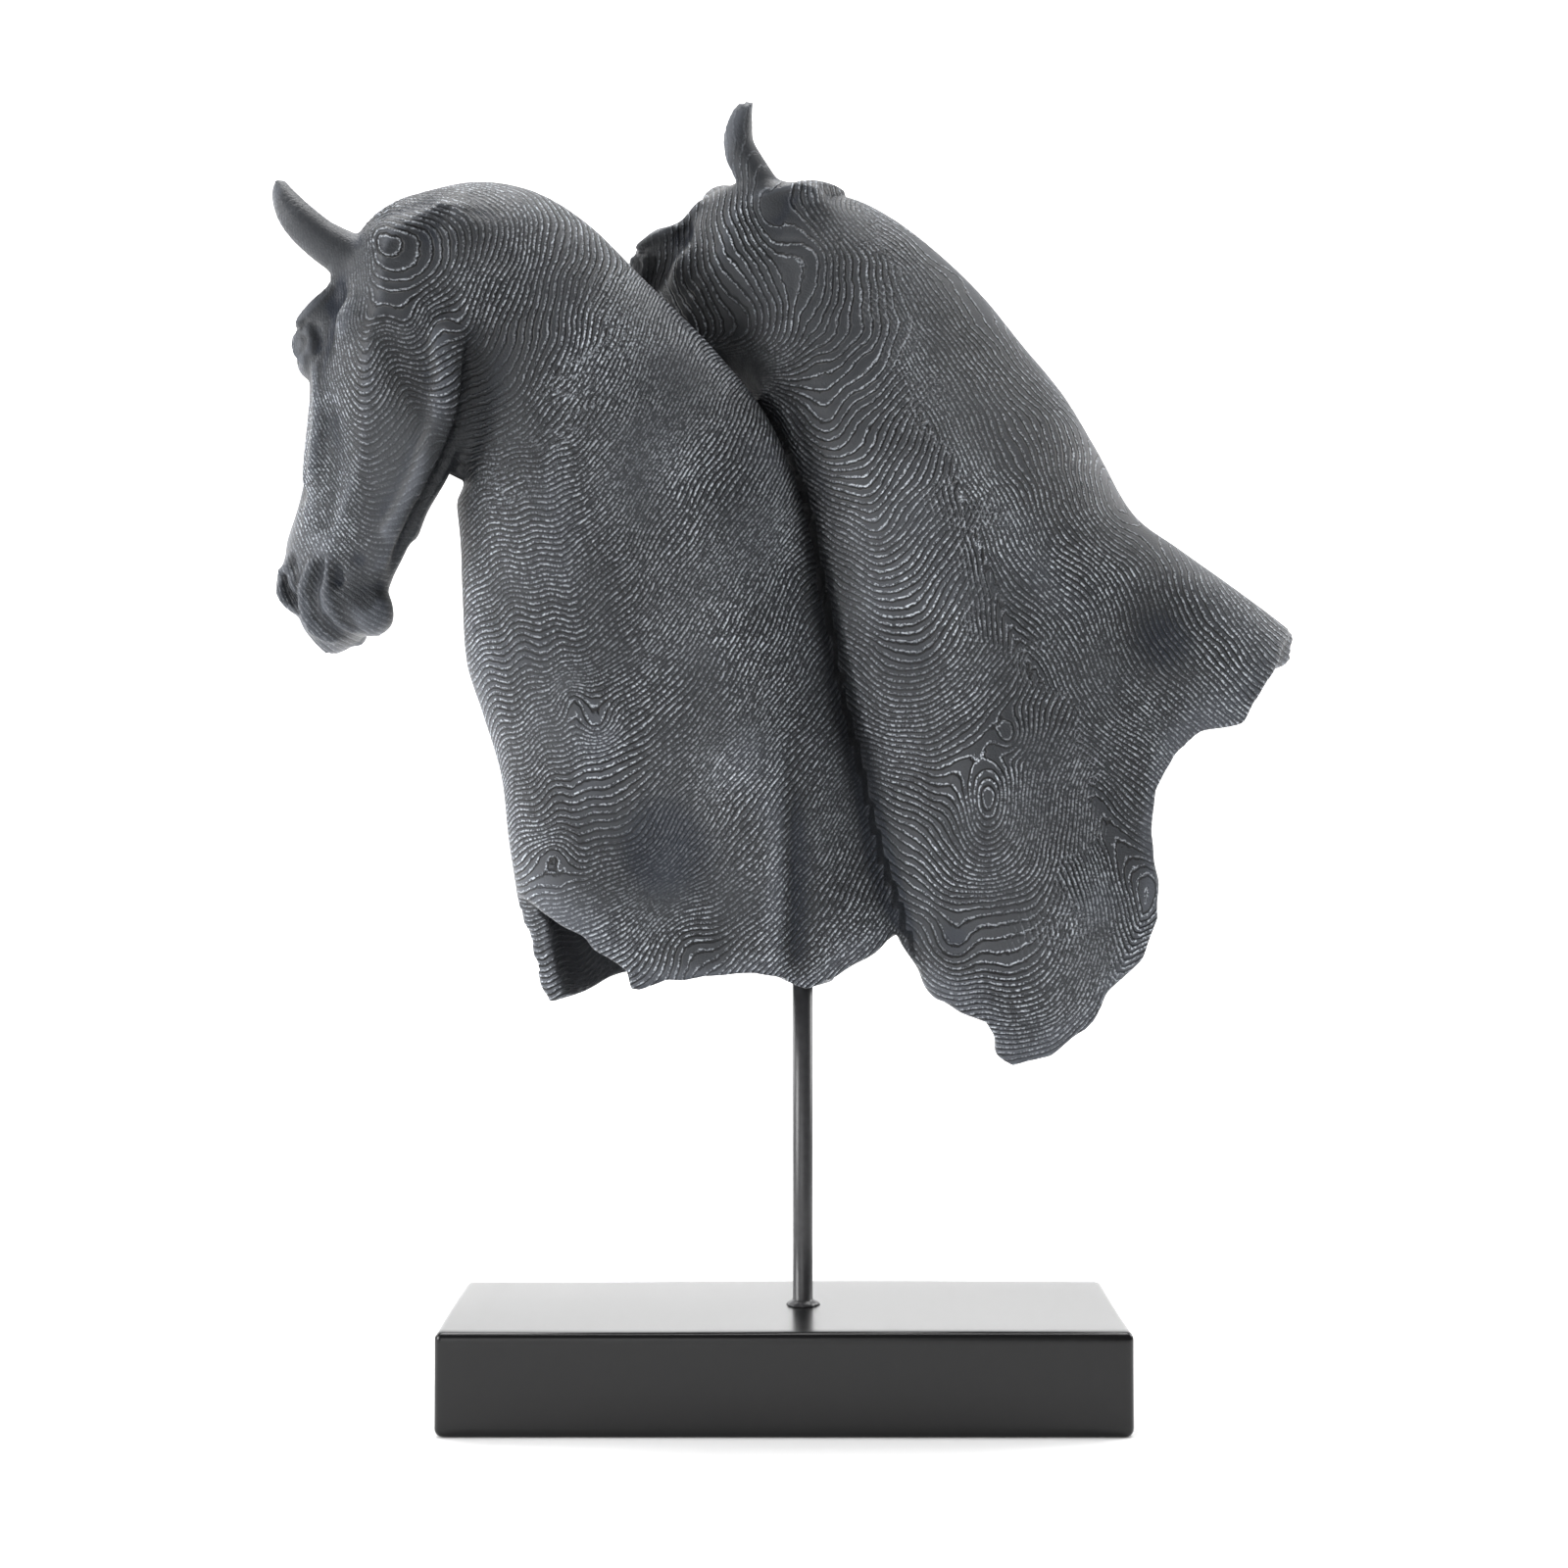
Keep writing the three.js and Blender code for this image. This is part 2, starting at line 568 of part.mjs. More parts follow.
function castingGeometry() {
  const mesh = thin(trace(drawnLow, drawnHigh, drawnStep), castingTriangles);
  const whole = solidOf(mesh.points.map((value) => value * scale), mesh.triangles)
    .decompose()
    .sort((a, b) => b.volume() - a.volume())[0];
  return geometryOf(whole.subtract(solidFrom(rodHole(rodInCasting + clearance, bossCap))));
}

function rodGeometry() {
  const r = rodDiameter / 2;
  const top = rodShown + rodInCasting;
  return new THREE.LatheGeometry(
    [
      [0, clearance - rodInBlock], [r, clearance - rodInBlock], [r, clearance], [r + beadWidth, clearance],
      [r + 0.7 * beadWidth, 0.6 * beadHeight], [r, beadHeight + clearance], [r, top], [0, top],
    ].map(([x, y]) => new THREE.Vector2(x, y)),
    24,
  ).rotateX(Math.PI / 2);
}

function blockGeometry() {
  const halfLength = blockLength / 2 - blockRound;
  const halfDepth = blockDepth / 2 - blockRound;
  const shape = new THREE.Shape();
  shape.moveTo(-halfLength, -halfDepth);
  shape.lineTo(halfLength, -halfDepth);
  shape.lineTo(halfLength, halfDepth);
  shape.lineTo(-halfLength, halfDepth);
  const block = new THREE.ExtrudeGeometry(shape, {
    depth: blockHeight - 2 * blockRound,
    bevelThickness: blockRound,
    bevelSize: blockRound,
    bevelSegments: 4,
  }).translate(0, 0, blockRound);
  const socket = rodHole(rodInBlock, rodInBlock).translate(rodOffset, 0, blockHeight);
  return geometryOf(solidFrom(block).subtract(solidFrom(socket)));
}

const castResin = new THREE.MeshStandardMaterial({ color: 0x34383f, roughness: 0.6, metalness: 0.2 });
const blackSteel = new THREE.MeshStandardMaterial({ color: 0x232426, roughness: 0.45, metalness: 0.4 });
const blackLacquer = new THREE.MeshStandardMaterial({ color: 0x161618, roughness: 0.35, metalness: 0 });

function piece(name, geometry, material) {
  const mesh = new THREE.Mesh(geometry, material);
  mesh.name = name;
  return mesh;
}

const block = piece("base_block", blockGeometry(), blackLacquer);
const rod = piece("support_rod", rodGeometry(), blackSteel);
const casting = piece("horse_heads", castingGeometry(), castResin);
casting.position.z = rodShown;

const onRod = new THREE.Group();
onRod.position.set(rodOffset, 0, blockHeight);
onRod.add(rod, casting);

const sculpture = new THREE.Group();
sculpture.add(block, onRod);
export default sculpture;
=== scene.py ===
"""Two horse heads in one dark ringed casting, on a thin rod and a low black block: fine form and finishes.

Blender works in metres. The casting's form is drawn in millimetres from the point where the rod enters it,
with x to the right, y away from the viewer and z up. A head's features are in shares of the head's length.
"""
import math

import bmesh
import bpy
import numpy as np
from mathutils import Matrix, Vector


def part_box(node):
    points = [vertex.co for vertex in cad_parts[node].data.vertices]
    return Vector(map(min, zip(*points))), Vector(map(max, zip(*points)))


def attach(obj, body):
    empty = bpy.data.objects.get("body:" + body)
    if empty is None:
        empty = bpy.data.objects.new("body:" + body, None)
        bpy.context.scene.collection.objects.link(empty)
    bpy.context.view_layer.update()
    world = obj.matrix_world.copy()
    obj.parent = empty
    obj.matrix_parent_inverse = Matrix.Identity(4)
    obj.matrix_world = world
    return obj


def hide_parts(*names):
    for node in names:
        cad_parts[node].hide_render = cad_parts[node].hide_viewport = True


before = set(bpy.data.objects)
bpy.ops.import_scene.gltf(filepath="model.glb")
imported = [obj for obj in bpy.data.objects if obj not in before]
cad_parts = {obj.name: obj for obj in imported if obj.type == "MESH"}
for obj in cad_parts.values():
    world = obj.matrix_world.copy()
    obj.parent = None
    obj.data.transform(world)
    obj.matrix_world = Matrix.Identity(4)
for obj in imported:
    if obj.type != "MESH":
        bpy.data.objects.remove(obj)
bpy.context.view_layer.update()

MM = 0.001

# Sizes of the solids that their boxes don't give
rod_in_casting = 0.048
rod_radius = 0.0043
edge_round = 0.0035

# Places read from the frame
block_low, block_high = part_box("base_block")
rod_low, rod_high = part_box("support_rod")
entry = Vector(((rod_low.x + rod_high.x) / 2, (rod_low.y + rod_high.y) / 2, rod_high.z - rod_in_casting))

# The casting, in millimetres
head_length = 174
wall = 6
hollow_depth = 46  # how far the shell is hollow behind a torn edge
boss_radius = 14
boss_height = 64
hole_radius = 4.6
hole_height = 48.3
crease_blend = 3  # between the two necks
throat_blend = 6
poll_blend = 16
ear_blend = 4
torn_blend = 2
line_height = 0.35  # how far the widest rings rise and sink
skin_spacing = 3.1  # of the mesh, halved on heads, knot and torn edge, and halved again on the ears

# Camera, level, straight in front of the block's middle
camera_height = 0.2648
camera_distance = 1.272
photo_width = 1600
focal_pixels = 3049
sensor_width = 36


def ease(start, end, x):
    """0 at start, 1 at end, and smooth between them."""
    t = np.clip((x - start) / (end - start), 0, 1)
    return t * t * (3 - 2 * t)


def mix(a, b, t):
    return a + (b - a) * t


def blend(a, b, size):
    """Smooth minimum: joins two forms with a fillet of about the given size."""
    h = np.maximum(size - np.abs(a - b), 0) / size
    return np.minimum(a, b) - h * h * size / 4


def cut_by(a, b, size):
    """Smooth maximum: cuts one form by another with a rounded edge."""
    return -blend(-a, -b, size)


def profile(rows):
    """Smooth curve through a table of (position, value) rows."""
    at, value = np.array(rows, float).T
    before = np.maximum(np.arange(len(at)) - 1, 0)
    after = np.minimum(np.arange(len(at)) + 1, len(at) - 1)
    slope = (value[after] - value[before]) / (at[after] - at[before])

    def curve(x):
        i = np.clip(np.searchsorted(at, x, side="right") - 1, 0, len(at) - 2)
        span = at[i + 1] - at[i]
        t = np.clip((x - at[i]) / span, 0, 1)
        rise = value[i + 1] - value[i]
        start, end = slope[i] * span, slope[i + 1] * span
        return value[i] + t * (start + t * (3 * rise - 2 * start - end + t * (start + end - 2 * rise)))

    return curve


def rounded_line(points, pieces=5):
    """Closed centripetal curve through the points, as a polyline with so many pieces between two points."""
    p = np.array(points, float)
    n = len(p)
    line = []
    for i in range(n):
        a, b, c, d = p[i - 1], p[i], p[(i + 1) % n], p[(i + 2) % n]
        before, here, after = (np.linalg.norm(q - r) ** 0.5 for q, r in ((a, b), (b, c), (c, d)))
        start = ((b - a) / before - (c - a) / (before + here) + (c - b) / here) * here
        end = ((c - b) / here - (d - b) / (here + after) + (d - c) / after) * here
        for t in np.arange(pieces) / pieces:
            bend = 3 * (c - b) - 2 * start - end + t * (2 * (b - c) + start + end)
            line.append(b + t * (start + t * bend))
    return np.array(line)


# The part of the x-z plane in which outlines are looked up, in millimetres
GRID_LOW = np.array([-250.0, -60.0])
GRID_HIGH = np.array([240.0, 400.0])
GRID_STEP = 1.5


def inside_of(line):
    """Signed distance to a closed polyline in the x-z plane, positive inside, looked up in a fine grid."""
    count = np.ceil((GRID_HIGH - GRID_LOW) / GRID_STEP).astype(int) + 1
    x = (GRID_LOW[0] + GRID_STEP * np.arange(count[0]))[:, None]
    z = (GRID_LOW[1] + GRID_STEP * np.arange(count[1]))[None, :]
    nearest = np.full(count, np.inf)
    inside = np.zeros(count, bool)
    for (ax, az), (bx, bz) in zip(line, np.roll(line, -1, axis=0)):
        ex, ez = bx - ax, bz - az
        t = np.clip(((x - ax) * ex + (z - az) * ez) / (ex * ex + ez * ez + 1e-9), 0, 1)
        nearest = np.minimum(nearest, (x - ax - t * ex) ** 2 + (z - az - t * ez) ** 2)
        if az != bz:
            inside ^= ((az > z) != (bz > z)) & (x < ax + (z - az) / ez * ex)
    grid = np.sqrt(nearest) * np.where(inside, 1, -1)

    def look_up(px, pz):
        u = np.clip((px - GRID_LOW[0]) / GRID_STEP, 0, count[0] - 1.001)
        v = np.clip((pz - GRID_LOW[1]) / GRID_STEP, 0, count[1] - 1.001)
        i, j = u.astype(int), v.astype(int)
        s, t = u - i, v - j
        return mix(mix(grid[i, j], grid[i + 1, j], s), mix(grid[i, j + 1], grid[i + 1, j + 1], s), t)

    return look_up


def relief(swells):
    """Sum of soft swells and hollows, each (x, z, radius, height)."""

    def height(x, z):
        total = np.zeros_like(x)
        for sx, sz, radius, rise in swells:
            total += rise * np.exp(-((x - sx) ** 2 + (z - sz) ** 2) / radius**2)
        return total

    return height


def ellipsoid(a, b, c, centre, radii):
    """Distance to an ellipsoid, near enough for blending."""
    p = [(v - m) / r for v, m, r in zip((a, b, c), centre, radii)]
    k0 = np.sqrt(sum(v * v for v in p))
    k1 = np.sqrt(sum((v / r) ** 2 for v, r in zip(p, radii)))
    return k0 * (k0 - 1) / np.maximum(k1, 1e-9)


def unit(v):
    v = np.array(v, float)
    return v / np.linalg.norm(v)


def drift(p, wavelength, height, seed):
    """A slow random wander of a value over the casting, made of a few sine waves."""
    random = np.random.default_rng(seed)
    waves = 7
    total = np.zeros(len(p))
    for _ in range(waves):
        direction = unit(random.normal(size=3) * (1, 0.5, 1))
        length = wavelength * random.uniform(0.7, 1.5)
        total += np.sin(p @ direction * (2 * math.pi / length) + random.uniform(0, 2 * math.pi))
    return total * height / math.sqrt(waves / 2)


def line_distance(x, y, points):
    """Distance in a plane to an open polyline."""
    nearest = np.full(x.shape, np.inf)
    for (ax, ay), (bx, by) in zip(points, points[1:]):
        ex, ey = bx - ax, by - ay
        t = np.clip(((x - ax) * ex + (y - ay) * ey) / (ex * ex + ey * ey), 0, 1)
        nearest = np.minimum(nearest, np.hypot(x - ax - t * ex, y - ay - t * ey))
    return nearest


# Head, in shares of its length: a from the poll to the lips, b out of the forehead, c to each side
forehead_line = profile([
    (-0.1, -0.195), (-0.04, -0.075), (0.04, 0.028), (0.14, 0.056), (0.24, 0.102), (0.36, 0.097), (0.5, 0.087),
    (0.64, 0.093), (0.74, 0.106), (0.79, 0.1), (0.84, 0.07), (0.9, 0.034), (0.95, -0.002), (1, -0.055)])
jaw_line = profile([
    (-0.1, -0.22), (-0.02, -0.21), (0.08, -0.28), (0.2, -0.34), (0.3, -0.36), (0.4, -0.36), (0.52, -0.325),
    (0.64, -0.266), (0.74, -0.216), (0.82, -0.184), (0.87, -0.184), (0.92, -0.162), (0.965, -0.106),
    (1, -0.06)])
head_half_width = profile([
    (-0.1, 0.03), (-0.02, 0.1), (0.1, 0.135), (0.22, 0.15), (0.34, 0.145), (0.46, 0.125), (0.58, 0.11),
    (0.7, 0.105), (0.8, 0.105), (0.88, 0.11), (0.94, 0.095), (0.98, 0.055), (1, 0.02)])

# Carving on the sides of a head: ridges (height above 0) and grooves (below 0) along lines in a and b
side_lines = [
    # (points, width, height)
    ([(0.3, 0.012), (0.43, -0.004), (0.57, -0.004)], 0.015, 0.012),  # cheek ridge
    ([(0.37, 0.06), (0.5, 0.04), (0.63, 0.036)], 0.026, -0.012),  # hollow beside the nose
    ([(0.44, -0.06), (0.56, -0.065), (0.68, -0.06)], 0.032, -0.014),  # hollow under the cheek ridge
    ([(0.06, 0.0), (0.13, 0.03), (0.19, 0.066), (0.225, 0.088)], 0.014, 0.014),  # brow
    ([(0.237, 0.05), (0.247, 0.077), (0.272, 0.089), (0.297, 0.077), (0.311, 0.054)],
     0.008, 0.013),  # upper lid
    ([(0.224, 0.064), (0.242, 0.098), (0.28, 0.109), (0.316, 0.086)], 0.007, -0.01),  # fold over it
    ([(0.237, 0.05), (0.256, 0.034), (0.284, 0.033), (0.311, 0.054)], 0.008, 0.011),  # lower lid
    ([(0.232, 0.026), (0.266, 0.009), (0.306, 0.014)], 0.008, -0.01),  # fold under it
    ([(0.796, -0.041), (0.854, -0.026), (0.899, -0.034), (0.952, -0.071), (0.98, -0.117)],
     0.01, 0.013),  # lip edge
    ([(0.79, -0.066), (0.855, -0.063), (0.91, -0.083), (0.955, -0.13)], 0.016, -0.02),  # channel inside it
    ([(0.777, -0.091), (0.856, -0.1), (0.92, -0.133), (0.957, -0.18)], 0.01, 0.014),  # lower lip
    ([(0.786, -0.106), (0.82, -0.116)], 0.012, -0.018),  # corner of the mouth
    ([(0.838, 0.044), (0.862, 0.03), (0.882, 0.012)], 0.013, -0.03),  # nostril
    ([(0.81, 0.036), (0.826, 0.062), (0.858, 0.058), (0.886, 0.04), (0.902, 0.014)],
     0.01, 0.011),  # its rim
    ([(0.79, 0.026), (0.82, 0.004), (0.86, -0.01), (0.9, -0.012)], 0.012, -0.012),  # fold behind it
    ([(0.2, -0.29), (0.3, -0.322), (0.42, -0.32), (0.54, -0.282), (0.68, -0.222)],
     0.022, 0.012),  # edge of the jaw
]
# Carving on the sides of a head: rounds and hollows
side_rounds = [
    # ((a, b), (radius along a, radius along b), height)
    ((0.2, -0.07), (0.046, 0.026), 0.026),  # end of the cheek arch
    ((0.15, -0.015), (0.04, 0.03), -0.018),  # temple
    ((0.245, -0.02), (0.05, 0.02), -0.01),  # hollow between the arch and the eye
    ((0.33, -0.2), (0.12, 0.085), 0.012),  # cheek muscle
    ((0.854, -0.194), (0.03, 0.026), -0.014),  # hollow in the side of the chin
    ((0.76, -0.15), (0.03, 0.03), -0.01),  # hollow behind the chin
]


def head_carving(a, b, c):
    """How far the carving stands out of the head's plain form."""
    rise = np.zeros_like(a)
    for points, width, height in side_lines:
        rise += height * np.exp(-((line_distance(a, b, points) / width) ** 2))
    for (ma, mb), (ra, rb), height in side_rounds:
        rise += height * np.exp(-(((a - ma) / ra) ** 2) - ((b - mb) / rb) ** 2)
    rise *= ease(0.02, 0.06, c)
    between_jaws = np.exp(-((c / 0.018) ** 2)) * ease(-0.12, -0.24, b) * ease(0.1, 0.3, a)
    between_jaws *= ease(0.82, 0.7, a)
    beside_nose = np.exp(-(((c - 0.07) / 0.02) ** 2)) * ease(0.03, 0.07, b) * ease(0.3, 0.4, a)
    beside_nose *= ease(0.75, 0.65, a)
    return rise - 0.012 * between_jaws - 0.008 * beside_nose


def head_form(a, b, side):
    """Field of a head, below 0 inside, in shares of its length."""
    c = np.abs(side)
    at = np.clip(a, -0.1, 1)
    top, bottom = forehead_line(at), jaw_line(at)
    depth = (top - bottom) / 2
    height = (b - (top + bottom) / 2) / depth
    keel = mix(0.72, 0.25, ease(0.6, 0.78, at))  # below its edge the jaw slopes in, and the muzzle less so
    width = head_half_width(at) * (1 - keel * np.clip(-0.15 - height, 0, 0.9))
    ring = (np.abs(height) ** 2.3 + (c / width) ** 2.3) ** (1 / 2.3)
    size = np.minimum(depth, width)
    form = np.where(a == at, (ring - 1) * size, np.hypot(np.maximum((ring - 1) * size, 0), a - at))
    form = blend(form, ellipsoid(a, b, c, (0.31, -0.1, 0.08), (0.17, 0.1, 0.062)), 0.04)  # cheek
    form = blend(form, ellipsoid(a, b, c, (0.25, 0.062, 0.096), (0.09, 0.05, 0.044)), 0.06)  # brow
    form = blend(form, ellipsoid(a, b, c, (0.46, 0.03, 0.092), (0.15, 0.022, 0.024)), 0.05)  # cheek ridge
    form = cut_by(form, -ellipsoid(a, b, c, (0.274, 0.058, 0.166), (0.042, 0.028, 0.026)), 0.02)  # socket
    form = blend(form, ellipsoid(a, b, c, (0.272, 0.06, 0.128), (0.03, 0.024, 0.026)), 0.006)  # eye
    form = blend(form, ellipsoid(a, b, c, (0.85, 0.03, 0.064), (0.06, 0.044, 0.042)), 0.04)  # muzzle
    form = blend(form, ellipsoid(a, b, c, (0.885, -0.165, 0.0), (0.055, 0.05, 0.062)), 0.03)  # chin
    return form - head_carving(a, b, c)


def placed_head(poll, towards, turn):
    """A head by its poll, the way its axis runs and how far its face turns from the viewer."""
    along = unit(towards)
    flat = unit(np.cross(along, (0, 1, 0)))
    level = unit(np.cross(flat, along))
    turned = math.radians(turn)
    face = -math.cos(turned) * flat + math.sin(turned) * level
    axes = np.stack([along, face, np.cross(along, face)]) / head_length

    def shares(p):
        return ((p - poll) @ axes.T).T

    def form(p):
        a, b, c = shares(p)
        far = np.maximum(np.maximum(np.hypot(b, c) - 0.5, a - 1.3), -a - 0.4) * head_length
        value = far.copy()
        near = far <= 20
        value[near] = head_length * head_form(a[near], b[near], c[near])
        return value

    form.shares = shares
    return form


def ear(line, facing):
    """A curved cone, hollow on the side it faces. Each row of the line is (x, y, z, radius)."""
    rows = np.array(line, float)
    steps = np.arange(len(rows))
    line = np.stack([profile(np.stack([steps, column], axis=1))(np.linspace(0, steps[-1], 4 * len(rows)))
                     for column in rows.T], axis=1)
    towards = unit(facing)
    reach = 45  # no part of an ear is further than this from its middle

    def nearest(p, share, shift):
        least = np.full(len(p), np.inf)
        for start, end in zip(line, line[1:]):
            middle = (start[3] + end[3]) / 2
            d = p - start[:3] - shift * middle * towards
            e = end[:3] - start[:3]
            t = np.clip(d @ e / (e @ e), 0, 1)
            radius = share * mix(start[3], end[3], t)
            least = np.minimum(least, np.linalg.norm(d - t[:, None] * e, axis=1) - radius)
        return least

    def form(p):
        value = np.linalg.norm(p - line[len(line) // 2, :3], axis=1) - reach
        near = value < 10
        value[near] = cut_by(nearest(p[near], 1, 0), -nearest(p[near], 0.55, 0.8), 2.2)
        return value

    return form


def neck(outline, round_off, middle, near, far):
    """A neck and shoulder: the outline seen from the front, filled to a rounded thickness."""
    inside = inside_of(rounded_line(outline))

    def form(x, y, z, step=0):
        edge = np.maximum(round_off - inside(x, z), 0) / round_off
        centre = middle(z)
        half = np.where(y < centre, near(x, z) - step, far(x, z))
        return (np.hypot(edge, (y - centre) / half) - 1) * np.minimum(round_off, half)

    form.inside = inside
    return form


left_head = placed_head(poll=(-180, -8, 314), towards=(-28, 10, -167), turn=32)
right_head = placed_head(poll=(-30, 31, 345), towards=(-75, 52, -150), turn=32)

left_neck = neck(
    outline=[
        (-187, 319), (-174, 331), (-157, 337), (-137, 340.5), (-114, 336.5), (-92, 323.5), (-66, 298),
        (-37, 269), (-14, 239), (2, 198), (11, 156), (22, 107), (42, 53), (54, 3), (34, -35), (-33, -43),
        (-108, -39), (-117, -1), (-121, 36), (-125, 63), (-128, 90), (-136, 117), (-142, 136), (-144, 165),
        (-145, 190), (-148, 212), (-153, 239), (-166, 264), (-182, 289), (-189, 305)],
    round_off=52,
    middle=lambda z: -8 + 5 * ease(150, 40, z),
    near=relief([
        (-60, 130, 400, 32), (-100, 200, 45, 4), (-75, 100, 34, 4), (-62, 62, 30, -6), (-120, 35, 18, 4),
        (-30, 90, 26, 3), (-176, 316, 12, 3), (-90, 270, 40, 2)]),
    far=relief([(-60, 130, 400, 28), (-80, 120, 50, 4), (-120, 240, 30, -3)]))

right_neck = neck(
    outline=[
        (-23, 336), (-8, 342), (7, 342.5), (23, 339.5), (41, 330), (60, 315), (78, 297), (95, 275),
        (112, 253), (126, 228), (141, 200), (159, 186), (181, 170), (212, 146), (249, 111), (249, 36),
        (208, -39), (141, -72), (79, -68), (55, -18), (40, 28), (29, 65), (21, 100), (13, 131), (9, 161),
        (4, 186), (-2, 211), (-11, 233), (-23, 250), (-31, 272), (-36, 298), (-34, 324)],
    round_off=55,
    middle=lambda z: mix(-6, 26, ease(150, 330, z)),
    near=relief([
        (60, 150, 420, 33), (80, 82, 30, 5), (84, 190, 40, 3), (152, 150, 24, -7), (44, 140, 20, -3),
        (118, 40, 26, 4), (60, 20, 14, -4)]),
    far=relief([(60, 150, 420, 29), (90, 100, 50, 4), (40, 240, 34, 3)]))


def shoulder_step(x, z):
    """The shoulder in the front steps back to the right of this line, below the crossing of the necks."""
    return 6 * ease(-11, -2, x) * ease(110, 50, z)


# Torn lower edge: all that lies inside the line is kept. The near and the far wall tear differently.
torn_near = inside_of(np.array([
    (275, 420), (276, 183), (208, 151), (197, 136), (190, 122), (182, 112), (165, 107), (154, 99),
    (146, 83), (144, 65), (147, 45), (147, 30), (140, 13), (127, -1), (117, -16), (103, -27), (87, -32),
    (81, -26),
    (77, -13), (68, -10), (55, -5), (46, 11), (39, 22), (26, 13), (13, 5), (2, 0), (-9, 5), (-20, 7),
    (-32, 6), (-41, 6), (-50, 4), (-57, 5), (-66, 1), (-71, -1), (-74, 8), (-90, 20), (-105, 30),
    (-130, 44), (-250, 44), (-250, 420)], float))
torn_far = inside_of(np.array([
    (275, 420), (290, 188), (215, 147), (213, 141), (207, 137), (196, 133), (184, 119), (164, 110),
    (152, 90), (143, 65), (145, 41), (139, 18), (122, 1), (109, -16), (94, -23), (77, -8), (60, 3), (41, 22),
    (26, 11), (13, 2), (1, -2), (-12, 4), (-34, 6), (-55, 5), (-70, 7), (-85, 1), (-97, -4), (-108, -8),
    (-114, -1), (-117, 18), (-136, 28), (-250, 44), (-250, 420)], float))

ears = [
    ear([(-188, -20, 305, 9.5), (-201, -23, 313, 8.5), (-211, -24, 322, 7.5), (-217, -23, 331, 5),
         (-219, -22, 338, 1.8)], (-0.3, 0.9, -0.3)),
    ear([(-188, 12, 312, 8), (-199, 19, 318, 7.5), (-208, 25, 325, 5.5), (-215, 29, 330, 1.6)],
        (-0.8, 0, -0.5)),
    ear([(-14, 14, 333, 10), (-22, 12, 347, 8.5), (-28, 10, 359, 7.5), (-27, 9, 370, 5.5),
         (-23, 9, 380.8, 1.8)], (-1, 0.2, -0.1)),
    ear([(-19, 42, 339, 8), (-24, 50, 352, 7.5), (-26, 56, 362, 5.5), (-25, 58, 371, 1.6)], (-1, 0, -0.1)),
]


def ear_distance(p):
    return np.minimum.reduce([one(p) for one in ears])


jaw_furrow = [(-177, 274), (-168, 256), (-157, 236), (-146, 214)]  # behind the left jaw

# Carving on the necks and shoulders, in millimetres: ridges and grooves along lines in x and z
neck_lines = [
    # (points, width, height)
    (jaw_furrow, 6, -3.5),
    ([(-34, 276), (-8, 243), (7, 201), (16, 157), (27, 108)], 2.5, 1.2),  # right neck's edge at the crossing
]


def neck_carving(x, y, z):
    """How far the carving stands out of the necks' plain form, on the side towards the viewer."""
    rise = np.zeros_like(x)
    for points, width, height in neck_lines:
        rise += height * np.exp(-((line_distance(x, z, points) / width) ** 2))
    return rise * ease(5, -5, y)


def casting_parts(p):
    """The fields of the joined necks, of the torn edge and of the hollow."""
    x, y, z = p.T
    necks = blend(left_neck(x, y, z, shoulder_step(x, z)), right_neck(x, y, z), crease_blend)
    torn = mix(-torn_near(x, z), -torn_far(x, z), ease(-8, 8, y)) + drift(p, 18, 0.45, 21)
    boss = np.maximum(np.hypot(x, y) - boss_radius, z - boss_height)
    hollow = cut_by(cut_by(necks + wall, -torn - hollow_depth, 12), -boss, 4)
    return necks, torn, hollow


def casting_field(p):
    """Below 0 inside the casting, above 0 outside, in millimetres near the surface."""
    x, y, z = p.T
    necks, torn, hollow = casting_parts(p)
    necks = necks - neck_carving(x, y, z)
    form = blend(necks, left_head(p), mix(throat_blend, poll_blend, ease(255, 300, z)))
    form = blend(form, right_head(p), mix(throat_blend, poll_blend, ease(275, 320, z) * ease(-60, -25, x)))
    for one in ears:
        form = blend(form, one(p), ear_blend)
    forelock = ellipsoid(x, y, z, (-34, 38, 340), (10, 14, 8))
    form = blend(form, forelock, ear_blend)
    form = cut_by(form, torn, torn_blend)
    form = cut_by(form, -hollow, torn_blend)
    hole = np.maximum(np.hypot(x, y) - hole_radius, z - hole_height)
    return np.maximum(form, -hole)


def field_slope(p, value, reach=0.25):
    """The field's gradient, from one more look along each axis."""
    return np.stack([(casting_field(p + reach * step) - value) / reach for step in np.eye(3)], axis=1)


def mesh_points(mesh):
    flat = np.empty(len(mesh.vertices) * 3)
    mesh.vertices.foreach_get("co", flat)
    return flat.reshape(-1, 3)


def set_mesh_points(mesh, points):
    mesh.vertices.foreach_set("co", points.ravel())
    mesh.update()


def mesh_normals(mesh):
    flat = np.empty(len(mesh.vertices) * 3)
    mesh.vertices.foreach_get("normal", flat)
    return flat.reshape(-1, 3)


def averaged(mesh, values, times):
    """Averages a value or a place over each point's neighbours, so many times."""
    ends = np.empty(len(mesh.edges) * 2, int)
    mesh.edges.foreach_get("vertices", ends)
    a, b = ends.reshape(-1, 2).T
    n = len(mesh.vertices)
    count = np.bincount(a, minlength=n) + np.bincount(b, minlength=n)
    values = values.reshape(n, -1)
    for _ in range(times):
        total = np.stack([
            np.bincount(a, column[b], n) + np.bincount(b, column[a], n) for column in values.T], axis=1)
        values = 0.5 * values + 0.5 * total / np.maximum(count, 1)[:, None]
    return values.squeeze()


def to_drawing(points):
    """Places in metres as places in the casting's drawing, in millimetres."""
    return (points - np.array(entry)) / MM


def from_drawing(points):
    return points * MM + np.array(entry)


